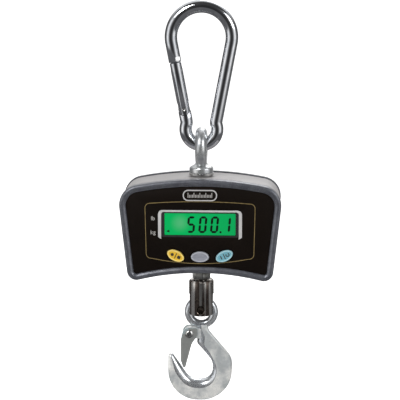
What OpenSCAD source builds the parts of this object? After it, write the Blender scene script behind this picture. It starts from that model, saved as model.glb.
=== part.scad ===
// Digital hanging scale: snap hook, eye bolt, battery-powered case with a
// display and three keys, and a swivel hook with a sprung latch.
// Millimetres, +Z up, front towards -Y. The model is drawn with z = 0 on the
// crown of the case's top face and then moved down so that the origin is the
// hang point, on the inside of the snap hook's top bend.

/* [Case] */
// Width of the case at its widest
case_w = 126; // [118:1:156]
// Height of the case on its centre line
case_h = 74; // [72:1:92]
// Depth of the case from bezel face to rear face
case_d = 52; // [51:0.5:64]
// Lean of the case's sides from vertical, in degrees
side_lean = 6.3; // [4:0.1:7]
// Radius of the arched top edge
top_arch_r = 262; // [200:1:400]
// Radius of the hollow bottom edge
bottom_arch_r = 200; // [180:1:400]
// Radius of the two top corners
top_corner_r = 16; // [12:0.5:18]
// Radius of the two bottom corners
bottom_corner_r = 7.5; // [6:0.5:9]
// Wall of the main housing
case_wall = 4; // [3:0.1:5]
// How far the main housing stands inside the bezel's outline
shell_step = 0.8; // [0.4:0.1:1.5]
// Depth of the front bezel
bezel_d = 7.5; // [7:0.1:9]
// Width of the bezel's rim, seen from the front
bezel_rim = 5.2; // [4.5:0.1:6]
// Depth of the rear cover
cover_d = 5.5; // [5:0.1:7]
// Thickness of each seal
seal_t = 1; // [0.6:0.1:1.5]
// Diameter of the long case screws
case_screw_d = 3; // [2.5:0.1:3.5]

/* [Front panel] */
// How far the panel lies behind the bezel's face
panel_recess = 1.5; // [1:0.1:2]
// Thickness of the front panel
panel_t = 2.5; // [2:0.1:3]
// Width of the display window
window_w = 55.5; // [50:0.5:60]
// Height of the display window
window_h = 17.5; // [15:0.5:20]
// Height of the window's top edge below the top of the case
window_drop = 26.4; // [25:0.1:28]
// Long diameter of each oval key
key_w = 14; // [11.5:0.5:15]
// Short diameter of each oval key
key_h = 8.2; // [7:0.1:9]
// Distance between the keys' centres
key_pitch = 19; // [17.5:0.5:22]
// Tilt of the two outer keys, in degrees
key_tilt = 25; // [15:1:30]
// Height of the middle key above the bottom edge's crown
key_rise = 13.2; // [12.5:0.1:15]
// Travel of each key
key_travel = 0.5; // [0.3:0.1:0.6]
// Width of the plain badge
badge_w = 26.6; // [20:0.1:32]
// Height of the plain badge
badge_h = 8.8; // [6:0.1:9]

/* [Snap hook] */
// Overall length of the snap hook
clip_len = 118; // [112:1:150]
// Diameter of the snap hook's rod
rod_d = 10; // [9:0.1:10.5]
// Radius of the top bend, on the rod's centre line
clip_top_r = 23.7; // [21:0.1:26]
// Radius of the bottom bend, on the rod's centre line
clip_bottom_r = 12.4; // [11:0.1:14]
// Radius of the two neck bends, on the rod's centre line
clip_neck_r = 6; // [5.5:0.1:7]
// Lean of the snap hook's legs from vertical, in degrees
leg_lean = 10.75; // [10:0.05:11]
// Length of the gate from its rivet to its free end
gate_len = 37; // [36:0.5:45]
// Diameter of the gate's rod
gate_d = 9.6; // [8.6:0.1:10]
// Thickness of the tongues at the gate's two ends
tongue_t = 4; // [3:0.1:5]
// Diameter of the gate's rivet
gate_rivet_d = 3; // [2.5:0.1:4]

/* [Eye bolt] */
// Diameter of the eye's bar
eye_bar_d = 9; // [8:0.1:11]
// Diameter of the eye's hole
eye_hole_d = 14; // [13:0.1:18]
// Diameter of the round collar under the eye
eye_collar_d = 19; // [16:0.1:22]
// Height of the collar, to its shoulder
eye_collar_h = 5.5; // [4:0.1:7]
// Height of the eye's centre above the collar's seat
eye_rise = 20; // [19:0.1:25]
// Diameter of the two load bolts
bolt_d = 8; // [7:0.5:10]
// Thickness of the washers
washer_t = 2; // [1:0.1:3]

/* [Swivel and hook] */
// Outer diameter of the swivel sleeve
sleeve_d = 20; // [18.5:0.1:24]
// Length of the swivel sleeve
sleeve_len = 28.5; // [28:0.5:35]
// Bore of the swivel sleeve
sleeve_bore_d = 13.6; // [13:0.1:14.5]
// Height of the jam nut
nut_h = 6.5; // [4:0.1:8]
// Size of the jam nut across its flats
nut_af = 13; // [12:0.5:17]
// Diameter of the hook's cross pin
pin_d = 6.2; // [5:0.1:7]
// Height of the pin above the sleeve's lower end
pin_rise = 5.1; // [4.5:0.1:7]
// Diameter of the bar that forms the hook's eye
hook_eye_bar_d = 6.75; // [6:0.05:7.5]
// Diameter of the hole in the hook's eye
hook_eye_hole_d = 13.5; // [12:0.1:15]
// Thickness of the hook's bowl
hook_t = 12; // [10:0.1:14]
// Thickness of the hook's neck
neck_t = 8; // [6:0.1:9]
// Thickness of the latch's sheet
latch_sheet = 1.1; // [0.8:0.1:1.5]
// Diameter of the latch's rivet
latch_rivet_d = 3.2; // [2.5:0.1:4]

/* [Inside] */
// Width of the load cell
cell_w = 50; // [44:1:60]
// Thickness of the load cell
cell_t = 12; // [10:0.5:12.5]
// Width of each slot sawn in the load cell
cell_slot = 2.4; // [1.5:0.1:4]
// Diameter of one AA battery
aa_d = 14.5; // [14:0.1:14.5]
// Length of one AA battery
aa_len = 50.5; // [49:0.5:51]
// Wall of the battery box
box_wall = 1.2; // [1:0.1:2]
// Width of the circuit board
pcb_w = 88; // [84:1:88]
// Thickness of the circuit board
pcb_t = 1.6; // [1:0.1:2]

/* [Clearances] */
// Gap round a moving part
move_gap = 0.3; // [0.2:0.05:0.5]
// Gap round a pin or bolt in its hole
pin_gap = 0.08; // [0.02:0.01:0.1]
// Gap between the links that hang in each other
link_gap = 0.15; // [0.1:0.05:0.4]
// Gap round a part that is seated in another
seat_gap = 0.15; // [0.05:0.05:0.3]

/* [Hidden] */
$fn = 48;
eps = 0.01;
// How far a straight bar laps into a bend, and how much thinner it is there
lap = 0.3;
lap_step = 0.02;

// Depths, from the front face to the rear face
front_y = -case_d / 2;
rear_y = case_d / 2;
bezel_back_y = front_y + bezel_d;
shell_front_y = bezel_back_y + seal_t;
cover_front_y = rear_y - cover_d;
shell_back_y = cover_front_y - seal_t;
panel_front_y = front_y + panel_recess;
panel_back_y = panel_front_y + panel_t;
shell_inset = shell_step + case_wall;

// Display and circuit board, stacked behind the panel
window_mid_z = -window_drop - window_h / 2;
lcd_t = 2.8;
backlight_t = 3;
lcd_w = window_w + 6.5;
lcd_h = window_h + 7;
lcd_back_y = panel_back_y + lcd_t;
pcb_front_y = lcd_back_y + backlight_t;
pcb_back_y = pcb_front_y + pcb_t;
pcb_top_z = -14;
pcb_bottom_z = 8.5 - case_h;
pcb_screw_d = 2;
pcb_post_d = 5.5;
pcb_post_x = pcb_w / 2 - 7;
pcb_post_z = [pcb_top_z - 4, pcb_bottom_z + 7];

// Silver frame round the window, open along the bottom
trim_side = 2.5;
trim_top = 1.5;
trim_margin_x = 2.4;
trim_margin_top = 1;
trim_proud = 0.5;
trim_h = trim_top + trim_margin_top + window_h + 1.4;

// Keys
key_mid_z = key_rise - case_h;
key_side_lift = 0.8;
key_proud = 1.5;
key_flange_t = 1;
key_lip = 1.1;
key_stem_d = 3;
key_stem = 0.8;
tact_w = 6;
key_places = [[-key_pitch, key_mid_z + key_side_lift, -key_tilt],
              [0, key_mid_z, 0],
              [key_pitch, key_mid_z + key_side_lift, key_tilt]];
key_front_y = panel_front_y - key_proud;
key_flange_y = panel_back_y + seat_gap;
key_end_y = key_flange_y + key_flange_t + key_stem;

// Plain badge
badge_mid_z = -12.2;
badge_t = 0.8;

// Case screws, in bosses near the four corners
boss_d = 8;
boss_x = [case_w / 2 - 14.5, case_w / 2 - 17];
boss_z = [-15.5, 13 - case_h];
boss_places = [for (i = [0, 1], s = [-1, 1]) [s * boss_x[i], boss_z[i]]];
screw_head_d = 5.6;
screw_head_h = 1.8;

// Eye bolt and the load path through the case
eye_mid_z = washer_t + eye_rise;
eye_mid_r = (eye_hole_d + eye_bar_d) / 2;
cell_top_z = -14;
cell_bottom_z = 12 - case_h;
thread_len = 12;
bush_flange_d = 22;
bush_flange_t = 2;
shell_top_in_z = -shell_inset;
shell_bottom_in_z = shell_inset - case_h;
lower_stack_z = -case_h;
lower_washer_z = lower_stack_z - 1.6;
nut_top_z = lower_washer_z - washer_t;
nut_bottom_z = nut_top_z - nut_h;

// Snap hook
bar_z = eye_mid_z + eye_hole_d / 2 - link_gap - rod_d / 2;
clip_low_z = bar_z + clip_bottom_r;
clip_high_z = clip_low_z + clip_len - clip_top_r - clip_bottom_r - rod_d;
hang_z = clip_high_z + clip_top_r - rod_d / 2;
leg_top = [clip_top_r * cos(leg_lean), clip_high_z - clip_top_r * sin(leg_lean)];
leg_dir = [sin(leg_lean), cos(leg_lean)];
leg_out = [cos(leg_lean), -sin(leg_lean)];
neck_centre = tangent_centre(leg_top, leg_dir, leg_out, clip_neck_r,
                             [0, clip_low_z], clip_bottom_r + clip_neck_r, 1);
neck_angle = atan2(neck_centre.y - clip_low_z, neck_centre.x);
leg_foot = neck_centre - clip_neck_r * leg_out;
rivet_up = 9.6;
rivet_at = leg_foot + rivet_up * leg_dir;
gate_end_gap = 0.45;
nose_tongue = 4.5;
spring_bore_d = 5;
plunger_d = 4.4;
plunger_len = 6;
spring_len = 14;
spring_wire_d = 0.7;

// Swivel sleeve and what is in it
sleeve_top_z = nut_bottom_z - 0.5;
sleeve_bottom_z = sleeve_top_z - sleeve_len;
sleeve_cap = 3.2;
sleeve_slot = hook_eye_bar_d + 2 * move_gap + 0.2;
race_t = 0.8;
ball_d = 1.6;
ball_count = 12;
race_d = sleeve_bore_d - 0.4;
bearing_top_z = sleeve_top_z - sleeve_cap;
bearing_bottom_z = bearing_top_z - 2 * race_t - ball_d;
head_top_z = bearing_bottom_z - 0.1;
head_h = 3.4;
head_d = sleeve_bore_d - 0.8;
pin_z = sleeve_bottom_z + pin_rise;
hook_eye_mid_r = (hook_eye_hole_d + hook_eye_bar_d) / 2;
hook_eye_z = pin_z + pin_d / 2 + link_gap - hook_eye_hole_d / 2;
slot_top_z = hook_eye_z + hook_eye_mid_r + hook_eye_bar_d / 2 + 2.2;

// Hook, drawn round the middle of its bowl
bowl_z = hook_eye_z - 44.5;
latch_pivot = [-9.6, bowl_z + 27.3];
lug_r = 4.6;
latch_in = neck_t / 2 + move_gap;
latch_out_y = latch_in + latch_sheet;
latch_head_d = 6.6;
latch_head_h = 1.2;

// Battery box, cells and door, stacked in from the rear face
box_mid_z = (shell_top_in_z + shell_bottom_in_z) / 2;
cell_end_room = 3;
box_in_w = aa_len + 2 * cell_end_room;
aa_pitch = aa_d + 0.5;
box_in_h = 3 * aa_pitch;
door_t = 2;
door_lip = 3.2;
door_rib = 1.2;
door_screw_z = box_mid_z - box_in_h / 2 - 4.2;
door_tab_r = 4.4;
door_back_y = rear_y;
door_front_y = rear_y - door_t;
box_back_y = cover_front_y;
aa_y = door_front_y - door_rib - 0.5 - aa_d / 2;
box_front_y = aa_y - aa_d / 2 - 0.3 - box_wall;
bush_d = bolt_d + 4;
bush_room = 0.2;
door_lift_room = 0.2;

// ---------------------------------------------------------------- outlines

// Centre of a circle that lies r beside a line and stands reach away from c
function tangent_centre(p, dir, side, r, c, reach, sign) =
    let (q = p + r * side - c, b = q * dir, k = q * q - reach * reach)
    c + q + (-b + sign * sqrt(b * b - k)) * dir;

function arc_points(c, r, a0, a1, steps) =
    [for (i = [0:steps]) let (a = a0 + (a1 - a0) * i / steps)
        [c.x + r * cos(a), c.y + r * sin(a)]];

function mirrored(half) =
    concat(half, [for (i = [len(half) - 2:-1:1]) [-half[i].x, half[i].y]]);

// Outline of the case, set in by a distance all round
function case_outline(inset) =
    let (
        high = [0, -top_arch_r],
        low = [0, -case_h - bottom_arch_r],
        widest_c = [case_w / 2 - top_corner_r,
                    high.y + sqrt(pow(top_arch_r - top_corner_r, 2)
                                  - pow(case_w / 2 - top_corner_r, 2))],
        out = [cos(side_lean), -sin(side_lean)],
        down = [-sin(side_lean), -cos(side_lean)],
        on_side = widest_c + (top_corner_r - inset) * out,
        rt = max(top_corner_r - inset, 1),
        rb = max(bottom_corner_r - inset, 1),
        ct = tangent_centre(on_side, down, -out, rt, high, top_arch_r - inset - rt, -1),
        cb = tangent_centre(on_side, down, -out, rb, low,
                            bottom_arch_r + inset + rb, -1),
        meet_top = atan2(ct.y - high.y, ct.x - high.x),
        meet_low = atan2(low.y - cb.y, low.x - cb.x),
        meet_arch = atan2(cb.y - low.y, cb.x - low.x),
        half = concat(
            arc_points(high, top_arch_r - inset, 90, meet_top, 8),
            [for (p = arc_points(ct, rt, meet_top, -side_lean, 8)) p],
            arc_points(cb, rb, -side_lean, meet_low, 8),
            arc_points(low, bottom_arch_r + inset, meet_arch, 90, 8))
    ) mirrored(without_doubles(half));

function without_doubles(p) =
    [for (i = [0:len(p) - 1]) if (i == 0 || norm(p[i] - p[i - 1]) > 0.001) p[i]];

function ellipse_points(w, h, steps) =
    [for (i = [0:steps - 1]) let (a = 360 * i / steps) [w / 2 * cos(a), h / 2 * sin(a)]];

// A polygon whose corners are rounded: each entry is [x, z, radius]
function rounded(corners) =
    [for (i = [0:len(corners) - 1])
        let (n = len(corners), c = corners[i], a = corners[(i + n - 1) % n],
             b = corners[(i + 1) % n], p = [c.x, c.y],
             u = unit([a.x, a.y] - p), v = unit([b.x, b.y] - p),
             half_turn = acos(u * v) / 2, r = c.z)
        each r == 0 ? [p] : let (
            centre = p + unit(u + v) * r / sin(half_turn),
            s = p + u * r / tan(half_turn) - centre,
            e = p + v * r / tan(half_turn) - centre,
            a0 = atan2(s.y, s.x), raw = atan2(e.y, e.x) - a0,
            turn = raw > 180 ? raw - 360 : raw < -180 ? raw + 360 : raw,
            steps = max(2, ceil(abs(turn) / 9)))
            arc_points(centre, r, a0, a0 + turn, steps)];

function unit(v) = v / norm(v);

// ------------------------------------------------------------ shape helpers

// Moves a part from the case's top face to the hang point's frame
module placed() {
    translate([0, 0, -hang_z]) children();
}

// Stands a flat (x, z) shape up between two depths
module slab(y0, y1) {
    translate([0, y1, 0]) rotate([90, 0, 0]) linear_extrude(y1 - y0) children();
}

module case_slab(y0, y1, inset) {
    slab(y0, y1) polygon(case_outline(inset));
}

// A round bar that follows an arc in the XZ plane
module arc_rod(x, z, bend_r, a0, a1, r) {
    translate([x, 0, z]) rotate([90, 0, 0]) rotate([0, 0, a0])
        rotate_extrude(angle = a1 - a0) translate([bend_r, 0]) circle(r);
}

// A round bar between two points of the XZ plane
module straight_rod(p, q, r) {
    translate([p.x, 0, p.y]) rotate([0, atan2(q.x - p.x, q.y - p.y), 0])
        cylinder(h = norm(q - p), r = r);
}

// A straight bar that laps a little way into the bends at its two ends
module lapped_rod(p, q, r) {
    along = unit(q - p) * lap;
    straight_rod(p - along, q + along, r - lap_step);
}

// A cylinder along Y
module y_rod(x, z, y0, y1, d) {
    translate([x, y1, z]) rotate([90, 0, 0]) cylinder(h = y1 - y0, d = d);
}

// A box between two corners
module block(a, b) {
    translate(a) cube(b - a);
}

// A tube along Z
module z_tube(z0, z1, outer_d, bore_d) {
    difference() {
        translate([0, 0, z0]) cylinder(h = z1 - z0, d = outer_d);
        translate([0, 0, z0 - 1]) cylinder(h = z1 - z0 + 2, d = bore_d);
    }
}

// ---------------------------------------------------------------- snap hook

// Everything in the gate's own frame: its rivet at the centre, its rod up +Z
module at_gate() {
    translate([-rivet_at.x, 0, rivet_at.y]) rotate([0, -leg_lean, 0]) children();
}

// One neck bend with the lap that joins it to the bottom bend
module neck_bend(r) {
    turn = [-sin(neck_angle), cos(neck_angle)];
    joint = [0, clip_low_z] + clip_bottom_r * [cos(neck_angle), sin(neck_angle)];
    arc_rod(neck_centre.x, neck_centre.y, clip_neck_r,
            180 - leg_lean, 180 + neck_angle - 0.2, r);
    lapped_rod(joint, joint + lap_step * turn, r);
}

module carabiner_frame() {
    r = rod_d / 2;
    nose_z = gate_len + gate_end_gap;
    color("lightgray") {
        difference() {
            union() {
                arc_rod(0, clip_high_z, clip_top_r, -leg_lean, 180 + leg_lean, r);
                lapped_rod(leg_foot, leg_top, r);
                neck_bend(r);
                arc_rod(0, clip_low_z, clip_bottom_r,
                        -180 - neck_angle, neck_angle, r);
                mirror([1, 0, 0]) {
                    neck_bend(r);
                    lapped_rod(leg_foot, rivet_at, r);
                }
                at_gate() translate([0, 0, nose_z])
                    cylinder(h = norm(leg_top - rivet_at) - nose_z + lap, r = r - lap_step);
            }
            at_gate() y_rod(0, 0, -rod_d, rod_d, gate_d + 2 * move_gap);
        }
        at_gate() {
            difference() {
                union() {
                    y_rod(0, 0, -tongue_t / 2, tongue_t / 2, gate_d - 0.6);
                    block([0.3 - gate_d / 2, -tongue_t / 2, -rivet_up + 2.5],
                          [gate_d / 2 - 0.3, tongue_t / 2, 0]);
                }
                y_rod(0, 0, -rod_d, rod_d, gate_rivet_d + 2 * pin_gap);
            }
            block([-3, 0.2 - tongue_t / 2, nose_z - nose_tongue],
                  [3, tongue_t / 2 - 0.2, nose_z + 1]);
        }
    }
}

module gate_rivet() {
    reach = gate_d / 2 + 0.4;
    color("silver") at_gate() y_rod(0, 0, -reach, reach, gate_rivet_d);
}

module carabiner_gate() {
    r = gate_d / 2;
    color("lightgray") at_gate() difference() {
        union() {
            cylinder(h = gate_len, r = r);
            intersection() {
                translate([0, 0, -r]) cylinder(h = r, r = r);
                y_rod(0, 0, -r, r, gate_d);
            }
        }
        block([-r - 1, -tongue_t / 2 - 0.2, -r - 1], [r + 1, tongue_t / 2 + 0.2, r + 0.6]);
        block([-r - 1, -tongue_t / 2, gate_len - nose_tongue - 1],
              [r + 1, tongue_t / 2, gate_len + 1]);
        y_rod(0, 0, -rod_d, rod_d, gate_rivet_d + 2 * pin_gap);
        cylinder(h = r + 1 + plunger_len + spring_len, d = spring_bore_d);
    }
}

module gate_plunger() {
    color("silver") at_gate() translate([0, 0, gate_d / 2])
        cylinder(h = plunger_len, d = plunger_d);
}

module gate_spring() {
    color("dimgray") at_gate() translate([0, 0, gate_d / 2 + plunger_len + 0.3])
        linear_extrude(spring_len - 0.4, twist = -360 * 8, slices = 96)
            translate([1.7, 0]) circle(d = spring_wire_d, $fn = 8);
}

// ---------------------------------------------------------------- load path

module eye_bolt() {
    seat = washer_t;
    color("lightgray") {
        translate([0, 0, eye_mid_z]) rotate([0, 90, 0])
            rotate_extrude() translate([eye_mid_r, 0]) circle(d = eye_bar_d);
        difference() {
            translate([0, 0, seat]) rotate_extrude() polygon(rounded([
                [0, 0, 0], [eye_collar_d / 2, 0, 0.6],
                [eye_collar_d / 2, eye_collar_h, 1.6], [0, eye_collar_h + 1.5, 0]]));
            translate([0, 0, eye_mid_z]) rotate([0, 90, 0])
                cylinder(h = 2 * eye_collar_d, d = eye_hole_d, center = true);
        }
        translate([0, 0, cell_top_z - thread_len + 0.5])
            cylinder(h = seat - cell_top_z + thread_len - 0.4, d = bolt_d);
    }
}

module eye_washer() {
    color("silver") z_tube(0, washer_t, eye_collar_d + 0.6, bolt_d + 2 * pin_gap);
}

module top_bush() {
    color("black") {
        z_tube(cell_top_z, -0.2, bush_d, bolt_d + 2 * pin_gap);
        z_tube(shell_top_in_z - bush_flange_t, shell_top_in_z - 0.5, bush_flange_d, bush_d - eps);
    }
}

module load_cell() {
    y = cell_t / 2;
    x = cell_w / 2;
    slot_in = 9;
    slot_z = 14;
    hole_d = 11;
    color("silver") difference() {
        block([-x, -y, cell_bottom_z], [x, y, cell_top_z]);
        block([-x - 1, -y - 1, cell_top_z - slot_z - cell_slot],
              [x - slot_in, y + 1, cell_top_z - slot_z]);
        block([slot_in - x, -y - 1, cell_bottom_z + slot_z],
              [x + 1, y + 1, cell_bottom_z + slot_z + cell_slot]);
        y_rod(0, (cell_top_z + cell_bottom_z) / 2, -y - 1, y + 1, hole_d);
        translate([0, 0, cell_top_z - thread_len])
            cylinder(h = thread_len + 1, d = bolt_d + 2 * pin_gap);
        translate([0, 0, cell_bottom_z - 1])
            cylinder(h = thread_len + 1, d = bolt_d + 2 * pin_gap);
    }
}

module strain_gauges() {
    y = cell_t / 2;
    mid = (cell_top_z + cell_bottom_z) / 2;
    color("goldenrod") for (s = [-1, 1])
        translate([s * 13, -y - 0.15, mid]) cube([5, 0.3 - eps, 3.5], center = true);
}

// Twisted lead from the load cell up over its edge to the circuit board
module cell_lead() {
    start_x = 17;
    bend = 3;
    z = (cell_top_z + cell_bottom_z) / 2;
    y = -cell_t / 2;
    color("red") {
        translate([start_x + bend, y - 0.9, z]) rotate([0, 0, 180])
            rotate_extrude(angle = 90) translate([bend, 0]) circle(0.8, $fn = 24);
        translate([start_x - 0.9, y - 0.9, z]) rotate([0, 90, 0]) cylinder(h = 0.9, r = 0.8);
    }
}

module swivel_bolt() {
    color("dimgray") {
        translate([0, 0, head_top_z - eps])
            cylinder(h = cell_bottom_z + thread_len - 0.5 - head_top_z, d = bolt_d);
        translate([0, 0, head_top_z - head_h]) cylinder(h = head_h, d = head_d);
    }
}

module lower_washer() {
    color("silver")
        z_tube(nut_top_z, lower_washer_z, eye_collar_d - 2.5, bolt_d + 2 * pin_gap);
}

module jam_nut() {
    color("silver") translate([0, 0, nut_bottom_z]) difference() {
        rotate([0, 0, 15]) intersection() {
            cylinder(h = nut_h, d = nut_af / cos(30), $fn = 6);
            translate([0, 0, nut_h / 2]) cylinder(h = nut_h + 1, d = nut_af / cos(30) - 0.5,
                                                 center = true);
        }
        translate([0, 0, -1]) cylinder(h = nut_h + 2, d = bolt_d + 2 * pin_gap);
    }
}

module bottom_bush() {
    color("black") {
        z_tube(lower_washer_z, lower_stack_z - 0.3, eye_collar_d - 2.5, bolt_d + 2 * pin_gap);
        z_tube(lower_washer_z, shell_bottom_in_z, bush_d, bolt_d + 2 * pin_gap);
    }
}

// --------------------------------------------------------------------- case

module main_housing() {
    color("silver") {
        difference() {
            case_slab(shell_front_y, shell_back_y, shell_step);
            case_slab(shell_front_y - 1, shell_back_y + 1, shell_inset);
            translate([0, 0, shell_top_in_z - 5])
                cylinder(h = 5 + shell_inset, d = bush_d + 2 * seat_gap);
            translate([0, 0, -case_h - 5])
                cylinder(h = 5 + shell_inset + 1, d = bush_d + 2 * seat_gap);
        }
        for (p = boss_places) difference() {
            union() {
                y_rod(p.x, p.y, shell_front_y, shell_back_y, boss_d);
                block([min(p.x, sign(p.x) * (case_w / 2 - shell_inset - 4)), shell_front_y,
                       p.y - 1.2],
                      [max(p.x, sign(p.x) * (case_w / 2 - shell_inset - 4)), shell_back_y,
                       p.y + 1.2]);
            }
            y_rod(p.x, p.y, shell_front_y - 1, shell_back_y + 1,
                  case_screw_d + 2 * seat_gap);
        }
    }
}

module front_bezel() {
    ledge = bezel_rim + 2.4;
    color("dimgray") difference() {
        union() {
            difference() {
                union() {
                    case_slab(front_y, front_y + 1.2, 1.1);
                    case_slab(front_y + 1.2 - eps, bezel_back_y, 0);
                }
                case_slab(front_y - 1, panel_back_y, bezel_rim);
                case_slab(panel_back_y - eps, bezel_back_y + 1, ledge);
            }
            for (p = boss_places) y_rod(p.x, p.y, panel_back_y, bezel_back_y, boss_d);
        }
        for (p = boss_places)
            y_rod(p.x, p.y, panel_back_y + 0.5, bezel_back_y + 1,
                  case_screw_d + 2 * pin_gap);
    }
}

module seal_ring(y0, hole_d) {
    difference() {
        union() {
            difference() {
                case_slab(y0, y0 + seal_t, shell_step + 0.6);
                case_slab(y0 - 1, y0 + seal_t + 1, shell_inset - 0.4);
            }
            for (p = boss_places) y_rod(p.x, p.y, y0, y0 + seal_t, boss_d);
        }
        for (p = boss_places) y_rod(p.x, p.y, y0 - 1, y0 + seal_t + 1, hole_d);
    }
}

module front_seal() {
    color("black") seal_ring(bezel_back_y, case_screw_d + 2 * seat_gap);
}

module rear_seal() {
    color("black") seal_ring(shell_back_y, case_screw_d + 2 * seat_gap);
}

module door_opening(y0, y1, grow) {
    block([-box_in_w / 2 - grow, y0, box_mid_z - box_in_h / 2 - grow],
          [box_in_w / 2 + grow, y1, box_mid_z + box_in_h / 2 + grow]);
}

module rear_cover() {
    color("dimgray") difference() {
        union() {
            case_slab(cover_front_y, rear_y - 1.2 + eps, 0);
            case_slab(rear_y - 1.2, rear_y, 1.1);
        }
        door_opening(cover_front_y - 1, rear_y + 1, 0);
        door_opening(door_front_y - door_lift_room, rear_y + 1, door_lip);
        for (p = boss_places) {
            y_rod(p.x, p.y, cover_front_y - 1, rear_y + 1, case_screw_d + 2 * seat_gap);
            y_rod(p.x, p.y, rear_y - screw_head_h - 0.2, rear_y + 1, screw_head_d + 0.6);
        }
        y_rod(0, door_screw_z, cover_front_y + 0.6, rear_y,
              case_screw_d + 2 * move_gap);
        y_rod(0, door_screw_z, door_front_y - door_lift_room, rear_y + 1,
              2 * door_tab_r + 2 * move_gap);
    }
}

module case_screws() {
    color("silver") for (p = boss_places) {
        y_rod(p.x, p.y, panel_back_y + 0.8, rear_y - 0.2, case_screw_d);
        difference() {
            y_rod(p.x, p.y, rear_y - screw_head_h - 0.2, rear_y - 0.2, screw_head_d);
            y_rod(p.x, p.y, rear_y - 1.2, rear_y, 2.4, $fn = 6);
        }
    }
}

module door_screw() {
    z = door_screw_z;
    color("silver") difference() {
        union() {
            y_rod(0, z, cover_front_y + 1, rear_y - 0.8, case_screw_d);
            y_rod(0, z, rear_y - 1.1, rear_y - 0.1, screw_head_d - 0.6);
        }
        block([-2, rear_y - 0.5, z - 0.4], [2, rear_y + 1, z + 0.4]);
    }
}

module battery_door() {
    grow = door_lip - seat_gap - 0.1;
    color("dimgray") difference() {
        union() {
            block([-box_in_w / 2 - grow, door_front_y, box_mid_z - box_in_h / 2 - grow],
                  [box_in_w / 2 + grow, door_back_y, box_mid_z + box_in_h / 2 + grow]);
            block([-box_in_w / 2 + 2, door_front_y - door_rib, box_mid_z - box_in_h / 2 + 2],
                  [box_in_w / 2 - 2, door_front_y + eps, box_mid_z + box_in_h / 2 - 2]);
            y_rod(0, door_screw_z, door_front_y, door_back_y, 2 * door_tab_r);
        }
        y_rod(0, door_screw_z, door_front_y - 1, rear_y + 1, case_screw_d + 2 * seat_gap);
        y_rod(0, door_screw_z, rear_y - 1.1, rear_y + 1, screw_head_d);
    }
}

// -------------------------------------------------------------- front panel

module key_oval(y0, y1, grow, place) {
    translate([place.x, 0, place.y]) rotate([0, -place.z, 0])
        slab(y0, y1) polygon(ellipse_points(key_w + 2 * grow, key_h + 2 * grow, 32));
}

module front_panel() {
    color([0.08, 0.06, 0.05]) {
        difference() {
            case_slab(panel_front_y, panel_back_y, bezel_rim + seat_gap);
            block([-window_w / 2, panel_front_y - 1, window_mid_z - window_h / 2],
                  [window_w / 2, panel_back_y + 1, window_mid_z + window_h / 2]);
            for (place = key_places)
                key_oval(panel_front_y - 1, panel_back_y + 1, move_gap, place);
        }
        for (s = [-1, 1], z = pcb_post_z) difference() {
            y_rod(s * pcb_post_x, z, panel_back_y - eps, pcb_front_y, pcb_post_d);
            y_rod(s * pcb_post_x, z, panel_back_y + 1, pcb_front_y + 1,
                  pcb_screw_d + 2 * pin_gap);
        }
    }
}

module display_window() {
    g = seat_gap;
    color([0.1, 0.7, 0.4, 0.6])
        block([g - window_w / 2, panel_front_y + 0.4, window_mid_z - window_h / 2 + g],
              [window_w / 2 - g, panel_back_y, window_mid_z + window_h / 2 - g]);
}

// Inverted U round the window's top and sides
module display_trim() {
    in_w = window_w + 2 * trim_margin_x;
    out_w = in_w + 2 * trim_side;
    top = -window_drop + trim_margin_top + trim_top;
    color("gainsboro") slab(panel_front_y - trim_proud, panel_front_y) difference() {
        polygon(rounded([
            [out_w / 2, top - trim_h, 0], [out_w / 2, top, 3.5],
            [-out_w / 2, top, 3.5], [-out_w / 2, top - trim_h, 0]]));
        polygon(rounded([
            [in_w / 2, top - trim_h - 1, 0], [in_w / 2, top - trim_top, 2],
            [-in_w / 2, top - trim_top, 2], [-in_w / 2, top - trim_h - 1, 0]]));
    }
}

module badge_plate() {
    w = badge_w / 2;
    h = badge_h / 2;
    color("darkgray") translate([0, 0, badge_mid_z]) slab(panel_front_y - badge_t, panel_front_y)
        polygon(rounded([[w, -h, h - 0.2], [w, h, h - 0.2], [-w, h, h - 0.2], [-w, -h, h - 0.2]]));
}

module lcd_panel() {
    color([0.0, 0.66, 0.33])
        block([-lcd_w / 2, panel_back_y, window_mid_z - lcd_h / 2],
              [lcd_w / 2, lcd_back_y, window_mid_z + lcd_h / 2]);
}

module backlight() {
    color("white")
        block([0.5 - lcd_w / 2, lcd_back_y, window_mid_z - lcd_h / 2 + 0.5],
              [lcd_w / 2 - 0.5, pcb_front_y, window_mid_z + lcd_h / 2 - 0.5]);
}

module main_pcb() {
    color("darkgreen") difference() {
        block([-pcb_w / 2, pcb_front_y, pcb_bottom_z], [pcb_w / 2, pcb_back_y, pcb_top_z]);
        for (s = [-1, 1], z = pcb_post_z)
            y_rod(s * pcb_post_x, z, pcb_front_y - 1, pcb_back_y + 1,
                  pcb_screw_d + 2 * seat_gap);
        for (s = [-1, 1])
            translate([s * pcb_w / 2, pcb_front_y - 1, pcb_bottom_z]) rotate([0, 45, 0])
                cube([14, 2 * pcb_t + 2, 14], center = true);
    }
}

module pcb_chips() {
    y = pcb_back_y;
    mid = (pcb_top_z + pcb_bottom_z) / 2;
    color("black") {
        block([-28, y, mid + 4], [-16, y + 1.6, mid + 16]);
        block([8, y, mid + 6], [15, y + 1.4, mid + 13]);
        block([-36, y, mid - 14], [-31, y + 1.2, mid - 6]);
    }
    color("silver") block([28, y, mid + 4], [39, y + 2.5, mid + 8.5]);
}

module tact_switches() {
    color("dimgray") for (p = key_places) {
        block([p.x - tact_w / 2, key_end_y + key_travel + 0.5, p.y - tact_w / 2],
              [p.x + tact_w / 2, pcb_front_y, p.y + tact_w / 2]);
        y_rod(p.x, p.y, key_end_y + key_travel + 0.1, key_end_y + key_travel + 0.5, 3);
    }
}

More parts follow.
